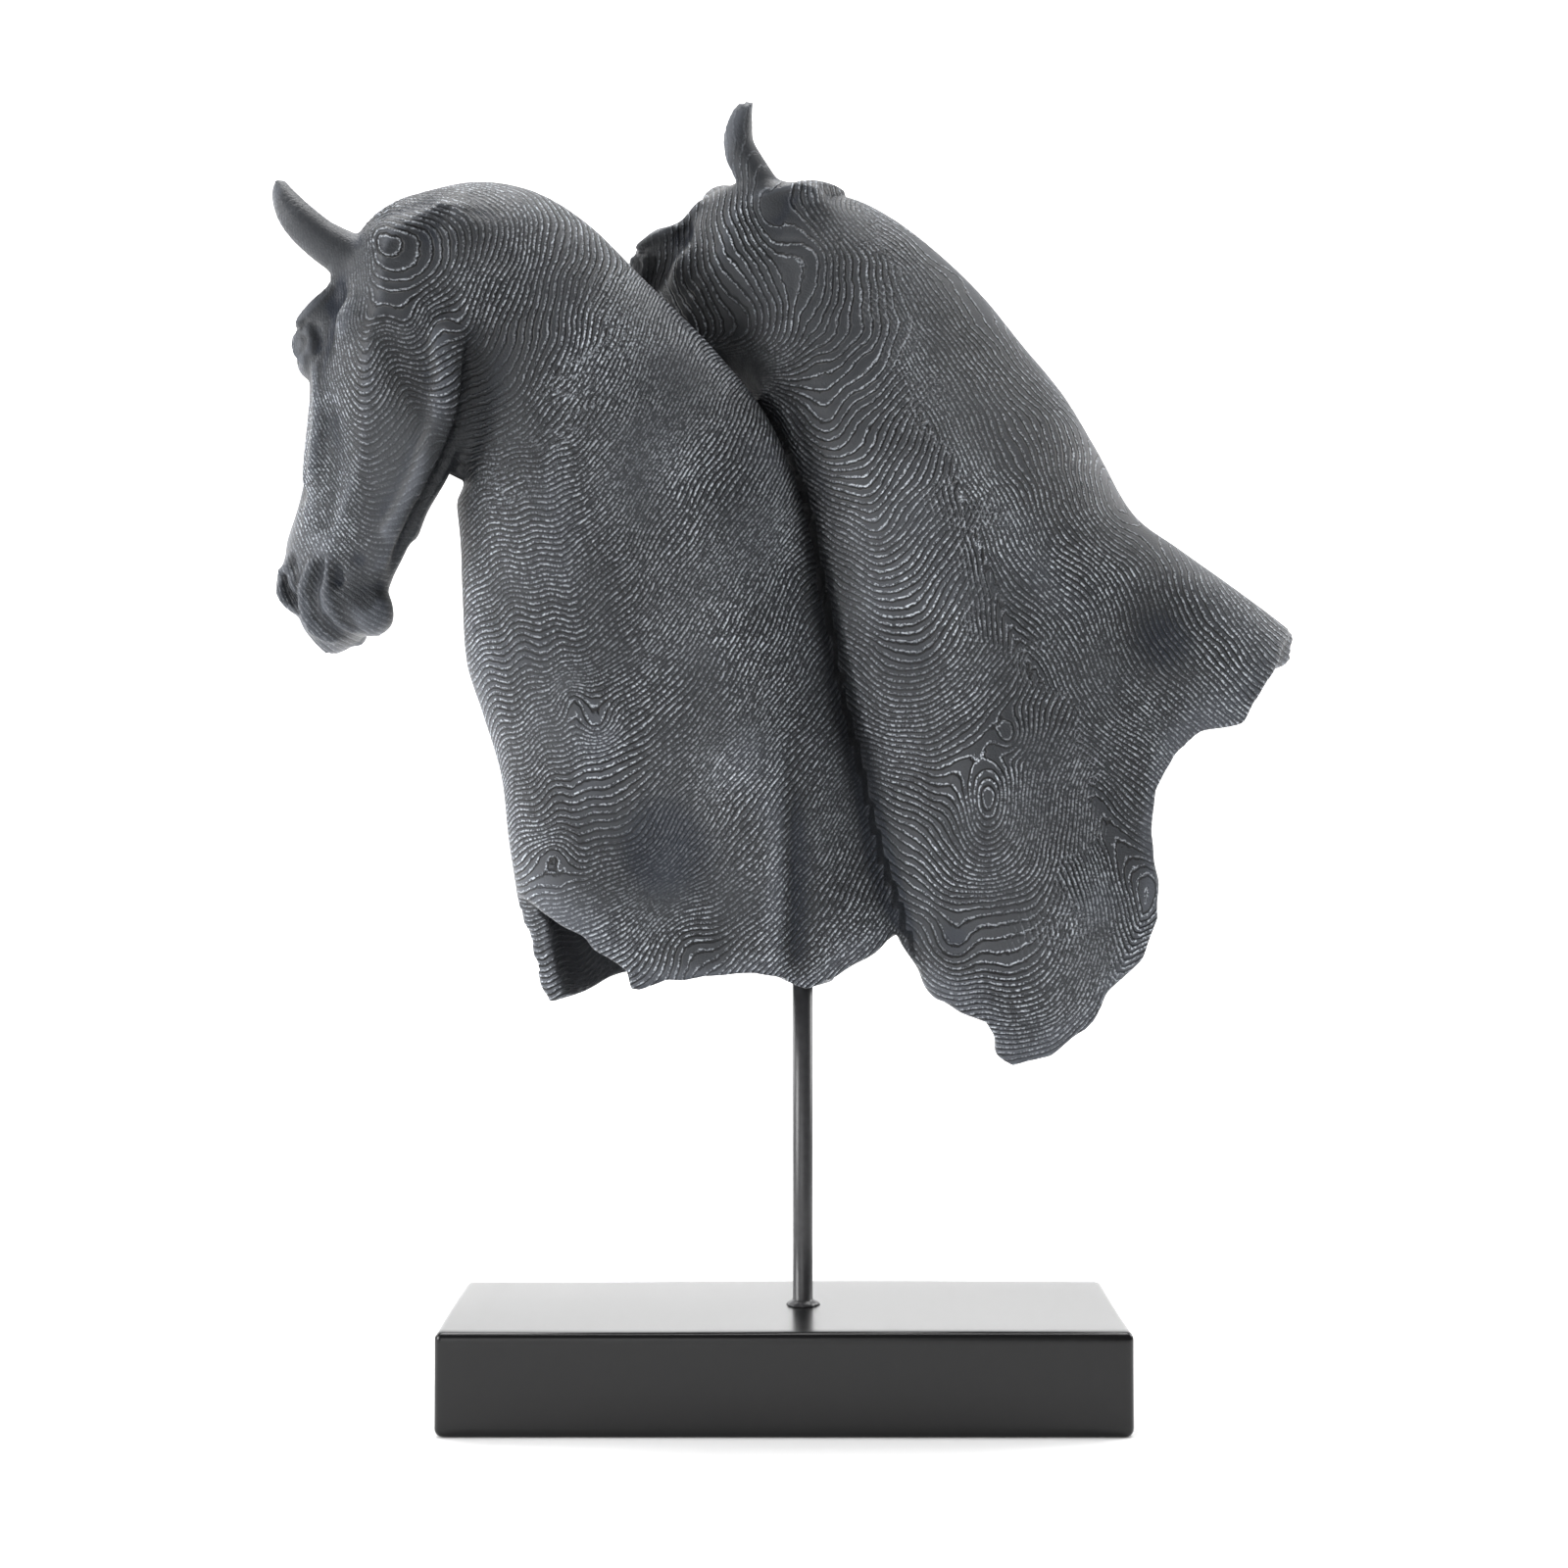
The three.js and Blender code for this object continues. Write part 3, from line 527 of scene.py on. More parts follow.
def settle_on_form(mesh, rounds, evening=0.6):
    """Moves the mesh's points onto the drawn form, and evens out their spacing along it."""
    for turn in range(rounds):
        p = to_drawing(mesh_points(mesh))
        value = casting_field(p)
        slope = field_slope(p, value)
        size = np.maximum(np.sum(slope * slope, axis=1), 0.09)
        p -= (np.clip(value / size, -2.5, 2.5))[:, None] * slope
        if turn < rounds - 1:
            set_mesh_points(mesh, from_drawing(p))
            shift = averaged(mesh, p, 1) - p
            normal = mesh_normals(mesh)
            shift -= np.sum(shift * normal, axis=1)[:, None] * normal
            p += evening * shift
        set_mesh_points(mesh, from_drawing(p))


def merged_copy(node, name):
    """A copy of a frame node's mesh with its corners joined, as a new object."""
    mesh = bpy.data.meshes.new(name)
    shape = bmesh.new()
    shape.from_mesh(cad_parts[node].data)
    bmesh.ops.remove_doubles(shape, verts=shape.verts, dist=1e-6)
    shape.to_mesh(mesh)
    shape.free()
    piece = bpy.data.objects.new(name, mesh)
    bpy.context.scene.collection.objects.link(piece)
    return piece


def remesh(piece, spacing):
    """Gives a piece one closed skin of even quads."""
    modifier = piece.modifiers.new("even_skin", "REMESH")
    modifier.mode = "VOXEL"
    modifier.voxel_size = spacing
    modifier.use_smooth_shade = True
    made = bpy.data.meshes.new_from_object(piece.evaluated_get(bpy.context.evaluated_depsgraph_get()))
    piece.modifiers.remove(modifier)
    old = piece.data
    piece.data = made
    bpy.data.meshes.remove(old)


def refine(mesh, chosen):
    """Halves the spacing of the mesh where both ends of an edge are chosen."""
    shape = bmesh.new()
    shape.from_mesh(mesh)
    shape.verts.ensure_lookup_table()
    edges = [e for e in shape.edges if chosen[e.verts[0].index] and chosen[e.verts[1].index]]
    bmesh.ops.subdivide_edges(shape, edges=edges, cuts=1, use_grid_fill=True)
    shape.to_mesh(mesh)
    shape.free()


# Growth rings. A count of rings rises by one from each line to the next. Two patterns lie over each other:
# rings round the knots and the long grain between them. Each point of the skin shows mostly one of the two.


def soft_ramp(x, size):
    """0 well below 0, x well above it, and rounded between them."""
    return 0.5 * (x + np.sqrt(x * x + size * size))


def count_rings(distance, spacing, slack=0, reach=30):
    """Rings counted over a distance, further apart near its start by the slack."""
    return (distance - slack * (1 - np.exp(-distance / reach))) / spacing


def knob_distance(p):
    """From the knob on the left poll: rings close together on its left and above, and wide to the right."""
    x, y, z = p.T
    across = (0.9 + ease(-170, -186, x)) * (x + 172)
    up = np.where(z > 309, 1.35, 0.78) * (z - 309)
    return np.sqrt(across**2 + up**2 + (0.7 * (y + 33)) ** 2)


def left_rings(p):
    """Round the knob on the left poll, dipping in a row of folds down the cheek."""
    x, y, z = p.T
    distance = knob_distance(p)
    cheek = -7 * np.exp(-(((x + 184) / 9) ** 2)) * ease(292, 275, z) * ease(180, 225, z)
    furrow = 5 * np.exp(-((line_distance(x, z, [(-173, 268), (-163, 248), (-148, 222)]) / 7) ** 2))
    folds = relief([(-163, 276, 7, -5), (-152, 279, 9, 5), (-140, 274, 8, -4)])(x, z)
    return count_rings(distance + cheek + furrow + folds, 2.1, 11, 34)


def left_grain(p):
    """Level on the chest with small waves, and turning up to the right across the shoulder."""
    x, y, z = p.T
    across = 1.8 * soft_ramp(x + 112, 26)
    value = np.hypot(across, z - 309) + 0.3 * np.abs(y + 10)
    waves = 1.2 * np.sin(x / 2.8 + z / 12) * ease(-82, -100, x) * ease(262, 215, z)
    folds = relief([(-96, 122, 8, 8), (-84, 110, 8, -9), (-105, 57, 8, 10), (-52, 24, 18, 15),
                    (-64, 60, 16, -7), (-120, 160, 16, 3), (-60, 160, 30, 4)])(x, z)
    return count_rings(value + waves + folds, 2.35)


# The line down the right throat on which its rings turn: rows of (z, x)
throat_line = profile([
    (-60, 66), (60, 56), (130, 44), (165, 36), (205, 27), (246, 12), (270, 5), (300, 1), (315, -1),
    (330, -6), (350, -10)])


def right_rings(p):
    """Hairpins below the right ear, nested bends down the throat, and the knots on the shoulder."""
    x, y, z = p.T
    aside = x - throat_line(z)
    deep = 0.3 * (y + 30)
    down = 0.8 * soft_ramp(301 - z, 6)
    upper = ease(250, 280, z)
    beside = 1.15 * soft_ramp(aside, 4) * (1 + 0.6 * ease(305, 335, z))
    beside += 1.1 * soft_ramp(-aside, 4) * (1 - upper)
    corner = 2 + 3 * ease(240, 285, z)
    bends = (down**corner + beside**corner) ** (1 / corner)
    bends += 0.55 * (np.sqrt(aside**2 + 64) - 8) * ease(290, 210, z)
    folds = relief([(8, 293, 6, 2), (3, 281, 6, -2.5), (14, 284, 6, 2.5), (14, 268, 7, -2.5),
                    (25, 264, 7, 2.5), (6, 262, 6, 2), (24, 240, 10, 4), (34, 190, 12, -3)])(x, z)
    throat = count_rings(np.hypot(bends, deep) + folds, 2.35, 34, 48)
    throat -= soft_ramp(-aside - 11 * ease(270, 305, z), 3) / 2.9 * upper
    knot = np.sqrt((1.45 * (x - 76)) ** 2 + (0.8 * (z - 80)) ** 2 + deep**2)
    lobes = relief([(58, 14, 14, -9), (101, -4, 22, -10), (84, 34, 14, 5), (66, 52, 12, -3)])(x, z)
    small = np.sqrt((1.5 * (x - 84)) ** 2 + (1.1 * (z - 107)) ** 2 + deep**2)
    knots = blend(count_rings(knot + lobes, 2.1), 3 + count_rings(small, 2.1), 2)
    return blend(throat, 54 + knots, 7)


def right_grain(p):
    """Along the crest of the right neck, and in arcs down the torn flap of its shoulder."""
    x, y, z = p.T
    along_crest = count_rings(right_neck.inside(x, z) + 0.3 * (y + 20), 1.95)
    flap = count_rings(np.sqrt((x - 235) ** 2 + (z - 190) ** 2 + (0.4 * (y + 20)) ** 2) - 72, 2.1)
    return blend(along_crest, flap, 8)


def ring_patterns(p):
    """For each point: its count in the rings and in the grain, and how far the grain shows (0 to 1)."""
    x, y, z = p.T
    on_left = np.minimum(left_neck(x, y, z, shoulder_step(x, z)), left_head(p)) < np.minimum(
        right_neck(x, y, z), right_head(p))
    warp = drift(p, 60, 1.0, 3) + drift(p, 24, 0.22, 5)
    rings = np.where(on_left, left_rings(p), right_rings(p)) + warp
    grain = np.where(on_left, left_grain(p), right_grain(p)) + warp
    uneven = drift(p, 30, 5, 8)
    left_share = ease(72, 100, knob_distance(p) + uneven) * ease(-168, -150, x + uneven)
    aside = x - throat_line(z) + uneven
    round_knot = np.hypot(1.2 * (x - 78), 0.8 * (z - 84)) + uneven
    low = ease(40, 10, z) * ease(136, 118, x)
    right_share = ease(26, 48, aside) * ease(38, 56, round_knot) * (1 - low)
    return rings, grain, np.where(on_left, left_share, right_share)


def line_strength(p):
    """How strongly the lines show: barely on the ears, faintly on muzzles, brows and under the jaws."""
    x, y, z = p.T
    strength = np.clip(0.8 + drift(p, 38, 0.2, 11), 0.3, 1)
    for one in ears:
        strength *= mix(0.2, 1, ease(0.5, 6, one(p)))
    for head in (left_head, right_head):
        a, b, c = head.shares(p)
        on_head = ease(4, -1, head(p))
        eye = np.exp(-(((a - 0.26) / 0.1) ** 2) - ((b - 0.07) / 0.07) ** 2)
        forehead = ease(0.02, 0.06, b) * ease(0.11, 0.06, np.abs(c))
        under = ease(-0.12, -0.22, b) * ease(0.3, 0.45, a)
        brow = ease(0.01, 0.05, b) * ease(0.08, 0.16, a) * ease(0.42, 0.34, a)
        muzzle = ease(0.68, 0.8, a)
        plain = 0.75 * muzzle + 0.9 * eye + 0.9 * brow + 0.85 * forehead + 0.85 * under
        strength *= 1 - on_head * np.clip(plain, 0, 0.92)
    return strength


def wide_rings(p):
    """How far a point lies among the widely spaced rings, which stand out enough to be form (0 to 1)."""
    x, y, z = p.T
    by_knob = ease(48, 30, knob_distance(p))
    throat = ease(66, 44, np.hypot(1.2 * (x - 12), z - 285)) * ease(-30, -18, x)
    return np.maximum(by_knob, throat) * ease(12, 0, y) * ease(0.5, 4, ear_distance(p))


def line_gap(count_at, p, normal):
    """Distance in millimetres from one line to the next along the skin, for a count given by a function."""
    here = count_at(p)
    slope = np.stack([count_at(p + 0.2 * step) - here for step in np.eye(3)], axis=1) / 0.2
    slope -= np.sum(slope * normal, axis=1)[:, None] * normal
    return np.clip(1 / np.maximum(np.linalg.norm(slope, axis=1), 0.05), 0.6, 12)


def add_value(mesh, name, values):
    mesh.attributes.new(name, "FLOAT", "POINT").data.foreach_set("value", values.astype(np.float32))


def even_skin():
    """The casting as one even mesh, finer on the heads, ears, knot, wide rings and torn edge."""
    piece = merged_copy("horse_heads", "carved_heads")
    remesh(piece, skin_spacing * MM)
    mesh = piece.data
    settle_on_form(mesh, 4)
    p = to_drawing(mesh_points(mesh))
    on_head = np.minimum.reduce([left_head(p), right_head(p), ear_distance(p)]) < 1.5
    by_knot = (np.hypot(p[:, 0] - 78, p[:, 2] - 86) < 32) & (p[:, 1] < 0)
    _, torn, _ = casting_parts(p)
    refine(mesh, on_head | by_knot | (wide_rings(p) > 0.02) | (np.abs(torn) < 3))
    settle_on_form(mesh, 3)
    p = to_drawing(mesh_points(mesh))
    refine(mesh, ear_distance(p) < 1.0)
    settle_on_form(mesh, 2)
    return piece


def add_line_values(mesh, p, normal):
    """Stores what draws the growth rings: counts, the gap to the next line and how strongly lines show."""
    rings, grain, share = ring_patterns(p)
    add_value(mesh, "rings", rings)
    add_value(mesh, "grain", grain)
    add_value(mesh, "grain_share", share)
    ring_gap, grain_gap = (
        averaged(mesh, line_gap(lambda q: ring_patterns(q)[which], p, normal), 3) for which in (0, 1))
    add_value(mesh, "ring_gap", ring_gap)
    add_value(mesh, "grain_gap", grain_gap)
    add_value(mesh, "lines", line_strength(p) * ease(0.9, 2.0, mix(ring_gap, grain_gap, share)))


def add_paint_values(mesh, p, normal):
    """Stores what colours the paint: the hollow, how open a place is, and how much it is rubbed.

    The rubbing value also carries a painted highlight on the left cheek and painted shade on tops that
    face upwards.
    """
    x, y, z = p.T
    _, _, hollow = casting_parts(p)
    add_value(mesh, "inner", ease(1.5, 0.2, hollow))
    near, far = 10, 26
    free = np.minimum(casting_field(p + near * normal) / near, casting_field(p + far * normal) / far)
    # painted shade in the furrow behind the left jaw, taken off how open the place is
    furrow = 0.75 * np.exp(-((line_distance(x, z, jaw_furrow) / 9) ** 2)) * ease(5, -5, y)
    free = ease(0.05, 0.85, free) * (1 - furrow)
    add_value(mesh, "open", averaged(mesh, free, 4))
    fine = np.sum((p - averaged(mesh, p, 8)) * normal, axis=1)
    broad = np.sum((p - averaged(mesh, p, 90)) * normal, axis=1)
    a, b, _ = left_head.shares(p)
    # painted highlight on the left cheek, where the key light falls
    cheek = ease(3, 0, left_head(p)) * ease(0.3, 0.42, a) * ease(-0.16, -0.04, b)
    wear_and_painted_light = 0.9 * cheek + np.clip(fine / 0.25, -1, 1) + np.clip(broad / 2.6, -1, 1)
    # painted shade on tops that face upwards
    wear_and_painted_light -= 0.8 * ease(0.2, 0.7, normal[:, 2])
    add_value(mesh, "wear_and_painted_light", averaged(mesh, wear_and_painted_light, 2))


def carved_heads():
    """The casting with its carving and raised rings, and the values that its paint reads."""
    piece = even_skin()
    mesh = piece.data
    p = to_drawing(mesh_points(mesh))
    normal = mesh_normals(mesh)
    add_line_values(mesh, p, normal)
    add_paint_values(mesh, p, normal)
    rings, _, _ = ring_patterns(p)
    height = line_height * wide_rings(p) * line_strength(p) * -np.cos(2 * math.pi * rings)
    set_mesh_points(mesh, from_drawing(p + height[:, None] * normal))
    for face in mesh.polygons:
        face.use_smooth = True
    return piece


def linear(hex_colour):
    """An sRGB hex colour as linear red, green, blue and alpha."""
    parts = [int(hex_colour[i:i + 2], 16) / 255 for i in (0, 2, 4)]
    return [v / 12.92 if v <= 0.04045 else ((v + 0.055) / 1.055) ** 2.4 for v in parts] + [1.0]


def add(tree, kind, links=None, output=0, **settings):
    """Adds a node, sets its settings, sets or links its inputs, and returns one of its outputs."""
    node = tree.nodes.new(kind)
    for name, value in settings.items():
        setattr(node, name, value)
    for socket, value in (links or {}).items():
        if isinstance(value, bpy.types.NodeSocket):
            tree.links.new(value, node.inputs[socket])
        else:
            node.inputs[socket].default_value = value
    return node.outputs[output]


def new_material(name):
    material = bpy.data.materials.new(name)
    material.use_nodes = True
    tree = material.node_tree
    return material, tree, tree.nodes["Principled BSDF"]


def ringed_resin():
    """Resin cast in a carved mould, painted charcoal with a blue-grey cast, and dry-brushed silver-grey.

    The brush catches the crests of the fine lines, broken into dashes, and the paint stays dark in the
    grooves and bluish in the hollows. Painted shade darkens tops that face upwards and places shut in by
    the form, such as the furrow behind the left jaw, and a painted highlight lightens the left cheek.
    """
    material, tree, shader = new_material("ringed_cast_resin")
    place = add(tree, "ShaderNodeTexCoord", output="Object")
    rings, ring_gap, grain, grain_gap, share, lines, inner, wear_and_painted_light, free = (
        add(tree, "ShaderNodeAttribute", output="Fac", attribute_name=name) for name in (
            "rings", "ring_gap", "grain", "grain_gap", "grain_share", "lines", "inner", "wear_and_painted_light", "open"))
    wander, breaks, patches, specks, grit = (
        add(tree, "ShaderNodeTexNoise", {"Vector": place, "Scale": 1000 / size, "Detail": detail}, "Fac")
        for size, detail in (
            # (size in millimetres, detail)
            (3.2, 2),  # wander of the lines
            (1.5, 2),  # breaks that leave dashes
            (34, 4),  # patches of the body colour
            (0.9, 3),  # specks that the brush missed
            (0.8, 3),  # grit in the resin
        ))
    dashes, unbroken, flecks, patchy, rubbing_and_painted_light, reached, patina_and_painted_top_shade, polish_and_painted_cheek_light, painted_occlusion_shade = (
        add(tree, "ShaderNodeMapRange", {
            "Value": value, "From Min": low, "From Max": high, "To Min": to_low, "To Max": to_high,
        }, interpolation_type="SMOOTHSTEP")
        for value, low, high, to_low, to_high in (
            (breaks, 0.38, 0.54, 0, 1),
            (ring_gap, 2.6, 4.2, 0, 1),
            (specks, 0.38, 0.6, 0, 1),
            (patches, 0.3, 0.68, 0.45, 1),
            # brush amount: more on crests, with a painted highlight on the left cheek and painted shade on
            # upward tops
            (wear_and_painted_light, -1.2, 1.2, 0.3, 1.35),
            (free, 0, 1, 0.4, 1),
            (wear_and_painted_light, 0, -1.3, 0, 1),
            (wear_and_painted_light, 0.6, 2, 0, 1),
            # painted shade where the form shuts a place in
            (free, 0, 0.9, 1, 0),
        ))

    def from_crest(count, gap):
        """Distance from the nearest crest, in millimetres."""
        turn = add(tree, "ShaderNodeMath", {0: wander, 1: 0.45, 2: count}, operation="MULTIPLY_ADD")
        turn = add(tree, "ShaderNodeMath", {0: turn}, operation="FRACT")
        turn = add(tree, "ShaderNodeMath", {0: turn, 1: 0.5}, operation="SUBTRACT")
        return add(tree, "ShaderNodeMath", {0: turn, 1: gap}, operation="MULTIPLY")

    def band(distance, middle, solid, edge):
        """1 within solid millimetres of the band's middle, and 0 beyond its edge."""
        off = add(tree, "ShaderNodeMath", {0: distance, 1: middle}, operation="SUBTRACT")
        off = add(tree, "ShaderNodeMath", {0: off}, operation="ABSOLUTE")
        return add(tree, "ShaderNodeMapRange", {
            "Value": off, "From Min": solid, "From Max": edge, "To Min": 1, "To Max": 0,
        }, interpolation_type="SMOOTHSTEP")

    crest_band = (0, 0.2, 0.62)
    groove_band = (0.95, 0.1, 0.6)
    across_rings, across_grain = from_crest(rings, ring_gap), from_crest(grain, grain_gap)
    whole = add(tree, "ShaderNodeMath", {0: dashes, 1: unbroken}, operation="MAXIMUM")
    ring_crest = add(
        tree, "ShaderNodeMath", {0: band(across_rings, *crest_band), 1: whole}, operation="MULTIPLY")
    grain_crest = add(
        tree, "ShaderNodeMath", {0: band(across_grain, *crest_band), 1: dashes}, operation="MULTIPLY")
    crest = add(tree, "ShaderNodeMix", {"Factor": share, 2: ring_crest, 3: grain_crest})
    groove = add(tree, "ShaderNodeMix", {
        "Factor": share, 2: band(across_rings, *groove_band), 3: band(across_grain, *groove_band)})
    shown = add(tree, "ShaderNodeMath", {0: crest, 1: lines}, operation="MULTIPLY")
    sunk = add(tree, "ShaderNodeMath", {0: groove, 1: lines}, operation="MULTIPLY")

    # the brush amount carries the painted cheek highlight and the painted shade on upward tops
    brushing_and_painted_light = add(tree, "ShaderNodeMath", {0: patchy, 1: rubbing_and_painted_light}, operation="MULTIPLY")
    brushing_and_painted_light = add(tree, "ShaderNodeMath", {0: brushing_and_painted_light, 1: reached}, operation="MULTIPLY")
    brush = add(tree, "ShaderNodeMath", {0: shown, 1: flecks}, operation="MULTIPLY")
    brush = add(tree, "ShaderNodeMath", {0: brush, 1: brushing_and_painted_light}, operation="MULTIPLY", use_clamp=True)

    colour = linear("2B2D30")
    for factor, over in (
        (patches, "37393D"),
        (patina_and_painted_top_shade, "262A32"),
        # bluish patina in the hollows, and painted shade on tops that face upwards
        (polish_and_painted_cheek_light, "4A4D53"),
        # lighter on polished crests, and a painted highlight on the left cheek
        (painted_occlusion_shade, "1B1D20"),
        # painted shade where the form shuts a place in, and in the furrow behind the left jaw
        (sunk, "0B0C0E"),
        (brush, "BEC4CC"),
        (inner, "1E2024"),
    ):
        colour = add(
            tree, "ShaderNodeMix", {"Factor": factor, 6: colour, 7: linear(over)}, 2, data_type="RGBA")
    tree.links.new(colour, shader.inputs["Base Color"])
    roughness = add(tree, "ShaderNodeMapRange", {
        "Value": brush, "From Min": 0, "From Max": 1, "To Min": 0.46, "To Max": 0.62,
    }, interpolation_type="SMOOTHSTEP")
    tree.links.new(roughness, shader.inputs["Roughness"])
    shader.inputs["IOR"].default_value = 1.37

    height = add(tree, "ShaderNodeMath", {0: shown, 1: sunk}, operation="SUBTRACT")
    height = add(tree, "ShaderNodeMath", {0: grit, 1: 0.5, 2: height}, operation="MULTIPLY_ADD")
    bump = add(tree, "ShaderNodeBump", {"Strength": 1, "Distance": 0.0006, "Height": height})
    tree.links.new(bump, shader.inputs["Normal"])
    return material


def black_lacquer():
    """Black lacquer sprayed on wood: a hard, pitted gloss that mirrors a pale room at a low angle."""
    clouds_per_metre = 60
    pits_per_metre = 1400
    material, tree, shader = new_material("black_lacquered_wood")
    place = add(tree, "ShaderNodeTexCoord", output="Object")
    cloud = add(tree, "ShaderNodeTexNoise", {"Vector": place, "Scale": clouds_per_metre, "Detail": 5}, "Fac")
    colour = add(tree, "ShaderNodeMix", {
        "Factor": cloud, 6: linear("060607"), 7: linear("0A0A0B")}, 2, data_type="RGBA")
    tree.links.new(colour, shader.inputs["Base Color"])
    shader.inputs["Roughness"].default_value = 0.24
    shader.inputs["IOR"].default_value = 1.4
    pits = add(tree, "ShaderNodeTexNoise", {"Vector": place, "Scale": pits_per_metre, "Detail": 2}, "Fac")
    bump = add(tree, "ShaderNodeBump", {"Strength": 0.15, "Distance": 0.0002, "Height": pits})
    tree.links.new(bump, shader.inputs["Normal"])
    return material


def black_rod_paint():
    """Satin black paint on drawn steel, scuffed greyer here and there."""
    scuffs_per_metre = 300
    material, tree, shader = new_material("black_painted_steel")
    place = add(tree, "ShaderNodeTexCoord", output="Object")
    scuffs = add(tree, "ShaderNodeTexNoise", {"Vector": place, "Scale": scuffs_per_metre, "Detail": 4}, "Fac")
    colour = add(tree, "ShaderNodeMix", {
        "Factor": scuffs, 6: linear("252527"), 7: linear("3A3A3C")}, 2, data_type="RGBA")
    tree.links.new(colour, shader.inputs["Base Color"])
    shader.inputs["Roughness"].default_value = 0.36
    shader.inputs["IOR"].default_value = 1.5
    return material


def piece_of(shape, name):
    """A finished bmesh as an object with smooth faces."""
    mesh = bpy.data.meshes.new(name)
    shape.to_mesh(mesh)
    shape.free()
    for face in mesh.polygons:
        face.use_smooth = True
    piece = bpy.data.objects.new(name, mesh)
    bpy.context.scene.collection.objects.link(piece)
    return piece


def lacquered_block():
    """The block, with edges softened by the lacquer and faces that aren't quite flat."""
    size = block_high - block_low
    wave_height = 0.00022
    shape = bmesh.new()
    bmesh.ops.create_cube(shape, size=1)
    bmesh.ops.scale(shape, vec=size, verts=shape.verts)
    bmesh.ops.translate(shape, vec=(block_low + block_high) / 2, verts=shape.verts)
    bmesh.ops.bevel(shape, geom=list(shape.edges), offset=edge_round, segments=5, profile=0.5,
                    affect="EDGES", material=-1)
    long_edges = [e for e in shape.edges if e.calc_length() > 0.02]
    bmesh.ops.subdivide_edges(shape, edges=long_edges, cuts=23, use_grid_fill=True)
    for v in shape.verts:
        swell = math.sin(23 * v.co.x + 0.6) + math.sin(31 * v.co.y - 11 * v.co.x)
        share = min(v.co.z / edge_round, 1)
        v.co += v.normal * wave_height * swell * share
    return piece_of(shape, "lacquered_block")


def painted_rod():
    """The rod, with an uneven bead of weld round its foot."""
    shape = bmesh.new()
    foot = block_high.z
    clear_of_bead = foot + 0.03
    # Rows of (out of the rod, above the block), in millimetres
    bead = [(0.0, 0.0), (2.7, 0.1), (2.4, 0.9), (1.5, 1.6), (0.5, 2.1), (0.0, 2.7)]
    heights = [rod_low.z] + [foot + z * MM for _, z in bead] + [clear_of_bead, rod_high.z]
    radii = [rod_radius] + [rod_radius + r * MM for r, _ in bead] + [rod_radius, rod_radius]
    outline = zip([0] + radii + [0], heights[:1] + heights + heights[-1:])
    corners = [shape.verts.new((r, 0, z)) for r, z in outline]
    line = [shape.edges.new(pair) for pair in zip(corners, corners[1:])]
    bmesh.ops.spin(shape, geom=corners + line, cent=(0, 0, 0), axis=(0, 0, 1), angle=2 * math.pi, steps=48,
                   use_merge=True)
    bmesh.ops.remove_doubles(shape, verts=shape.verts, dist=1e-6)
    for v in shape.verts:
        out = math.hypot(v.co.x, v.co.y)
        if out > rod_radius * 1.02:
            turn = math.atan2(v.co.y, v.co.x)
            lump = 1 + 0.12 * math.sin(5 * turn + 1) + 0.08 * math.sin(11 * turn)
            v.co.x, v.co.y = (c / out * (rod_radius + (out - rod_radius) * lump) for c in (v.co.x, v.co.y))
    bmesh.ops.translate(shape, vec=(entry.x, entry.y, 0), verts=shape.verts)
    bmesh.ops.recalc_face_normals(shape, faces=shape.faces)
    return piece_of(shape, "painted_rod")


def light(name, place, aim, size, power):
    """A square soft light at a place, aimed at another, so many metres wide."""
    lamp = bpy.data.lights.new(name, "AREA")
    lamp.size = size
    lamp.energy = power
    source = bpy.data.objects.new(name, lamp)
    source.location = place
    source.rotation_euler = (Vector(aim) - Vector(place)).to_track_quat("-Z", "Y").to_euler()
    bpy.context.scene.collection.objects.link(source)


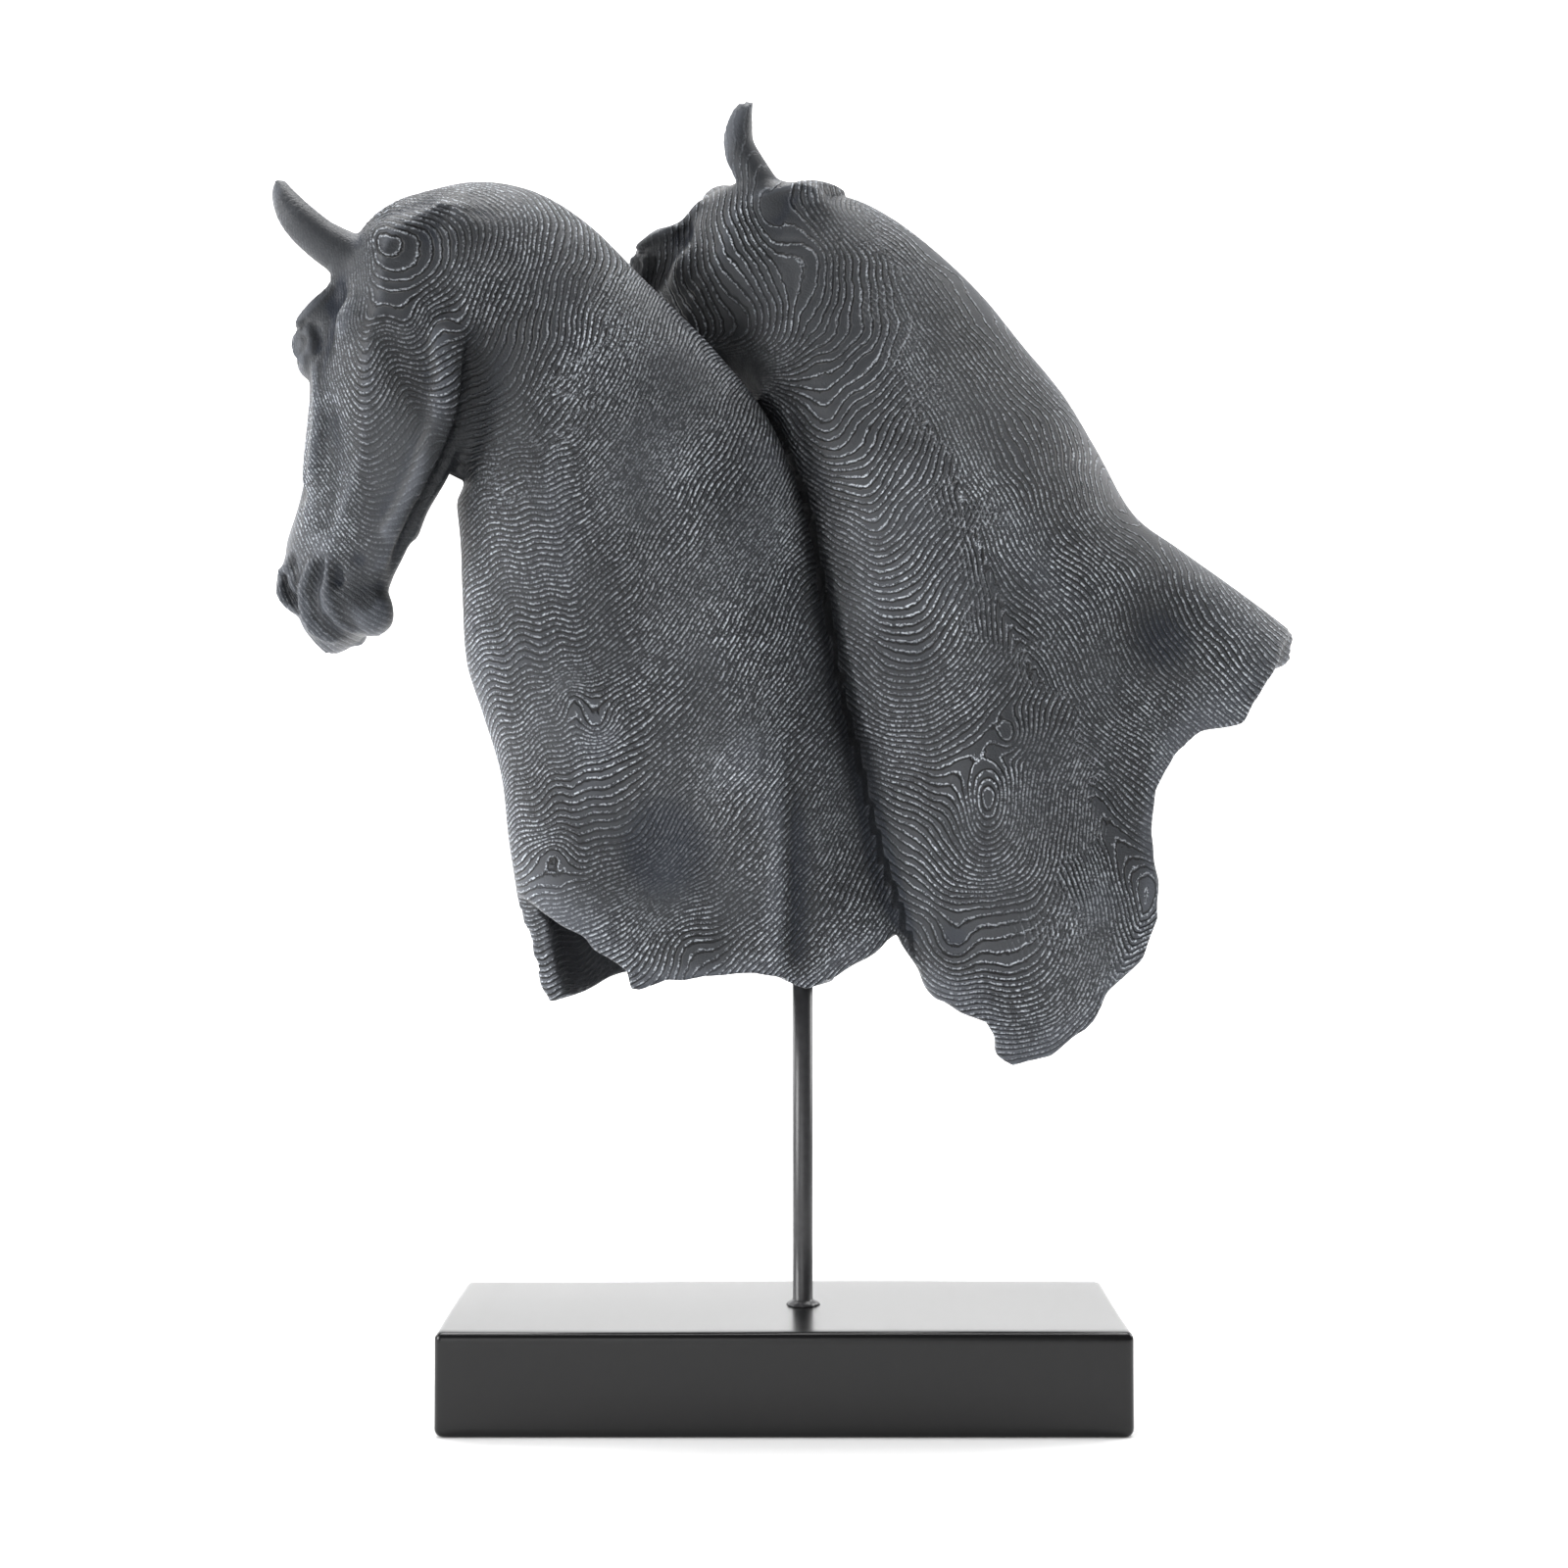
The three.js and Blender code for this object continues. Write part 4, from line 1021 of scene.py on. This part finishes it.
def pale_sweep():
    """A pale floor that curves up into a wall behind the sculpture."""
    shape = bmesh.new()
    front = -6.0
    half_width = 6
    wall_top = 5.0
    bend = 0.8
    back = 2.2
    turns = [math.radians(90 * i / 12) for i in range(13)]
    curve = [(back + bend * math.sin(a), bend * (1 - math.cos(a))) for a in turns]
    rows = [(front, 0.0)] + curve + [(back + bend, wall_top)]
    corners = [shape.verts.new((-half_width, y, z)) for y, z in rows]
    line = [shape.edges.new(pair) for pair in zip(corners, corners[1:])]
    made = bmesh.ops.extrude_edge_only(shape, edges=line)["geom"]
    far_side = [v for v in made if isinstance(v, bmesh.types.BMVert)]
    bmesh.ops.translate(shape, vec=(2 * half_width, 0, 0), verts=far_side)
    sweep = piece_of(shape, "pale_sweep")
    paint, _, shader = new_material("pale_sweep_paint")
    shader.inputs["Base Color"].default_value = linear("F2F2F2")
    shader.inputs["Roughness"].default_value = 0.9
    sweep.data.materials.append(paint)


def studio():
    """The camera that took the photo, a bright room and soft lights round the sculpture."""
    scene = bpy.context.scene
    scene.view_settings.view_transform = "Standard"
    camera = bpy.data.objects.new("photo_camera", bpy.data.cameras.new("photo_camera"))
    camera.location = (0, -camera_distance, camera_height)
    camera.rotation_euler = (math.pi / 2, 0, 0)
    camera.data.sensor_width = sensor_width
    camera.data.lens = sensor_width * focal_pixels / photo_width
    camera.data.clip_end = 50
    scene.collection.objects.link(camera)
    scene.camera = camera

    world = bpy.data.worlds.new("studio_air")
    scene.world = world
    world.use_nodes = True
    background = world.node_tree.nodes["Background"]
    background.inputs["Color"].default_value = linear("FFFFFF")
    background.inputs["Strength"].default_value = 0.25
    light("key_light", (-2.2, -0.8, 0.9), (0, 0, 0.33), 1.1, 55)
    light("fill_light", (-0.6, -2.4, 0.5), (0, 0, 0.33), 1.4, 14)
    light("rim_light_right", (1.7, 0.9, 1.0), (0, 0, 0.35), 1.0, 25)
    light("rim_light_left", (-1.5, 1.0, 0.9), (0, 0, 0.35), 0.9, 13)
    light("wall_light", (0, 0.8, 2.6), (0, 2.4, 0.0), 2.2, 170)
    pale_sweep()


studio()
for piece, node, finish, slot_name in (
    (carved_heads(), "horse_heads", ringed_resin(), "cast_resin"),
    (painted_rod(), "support_rod", black_rod_paint(), "black_rod"),
    (lacquered_block(), "base_block", black_lacquer(), "lacquered_block"),
):
    piece.data.materials.clear()
    piece.data.materials.append(finish)
    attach(piece, "root")
    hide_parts(node)
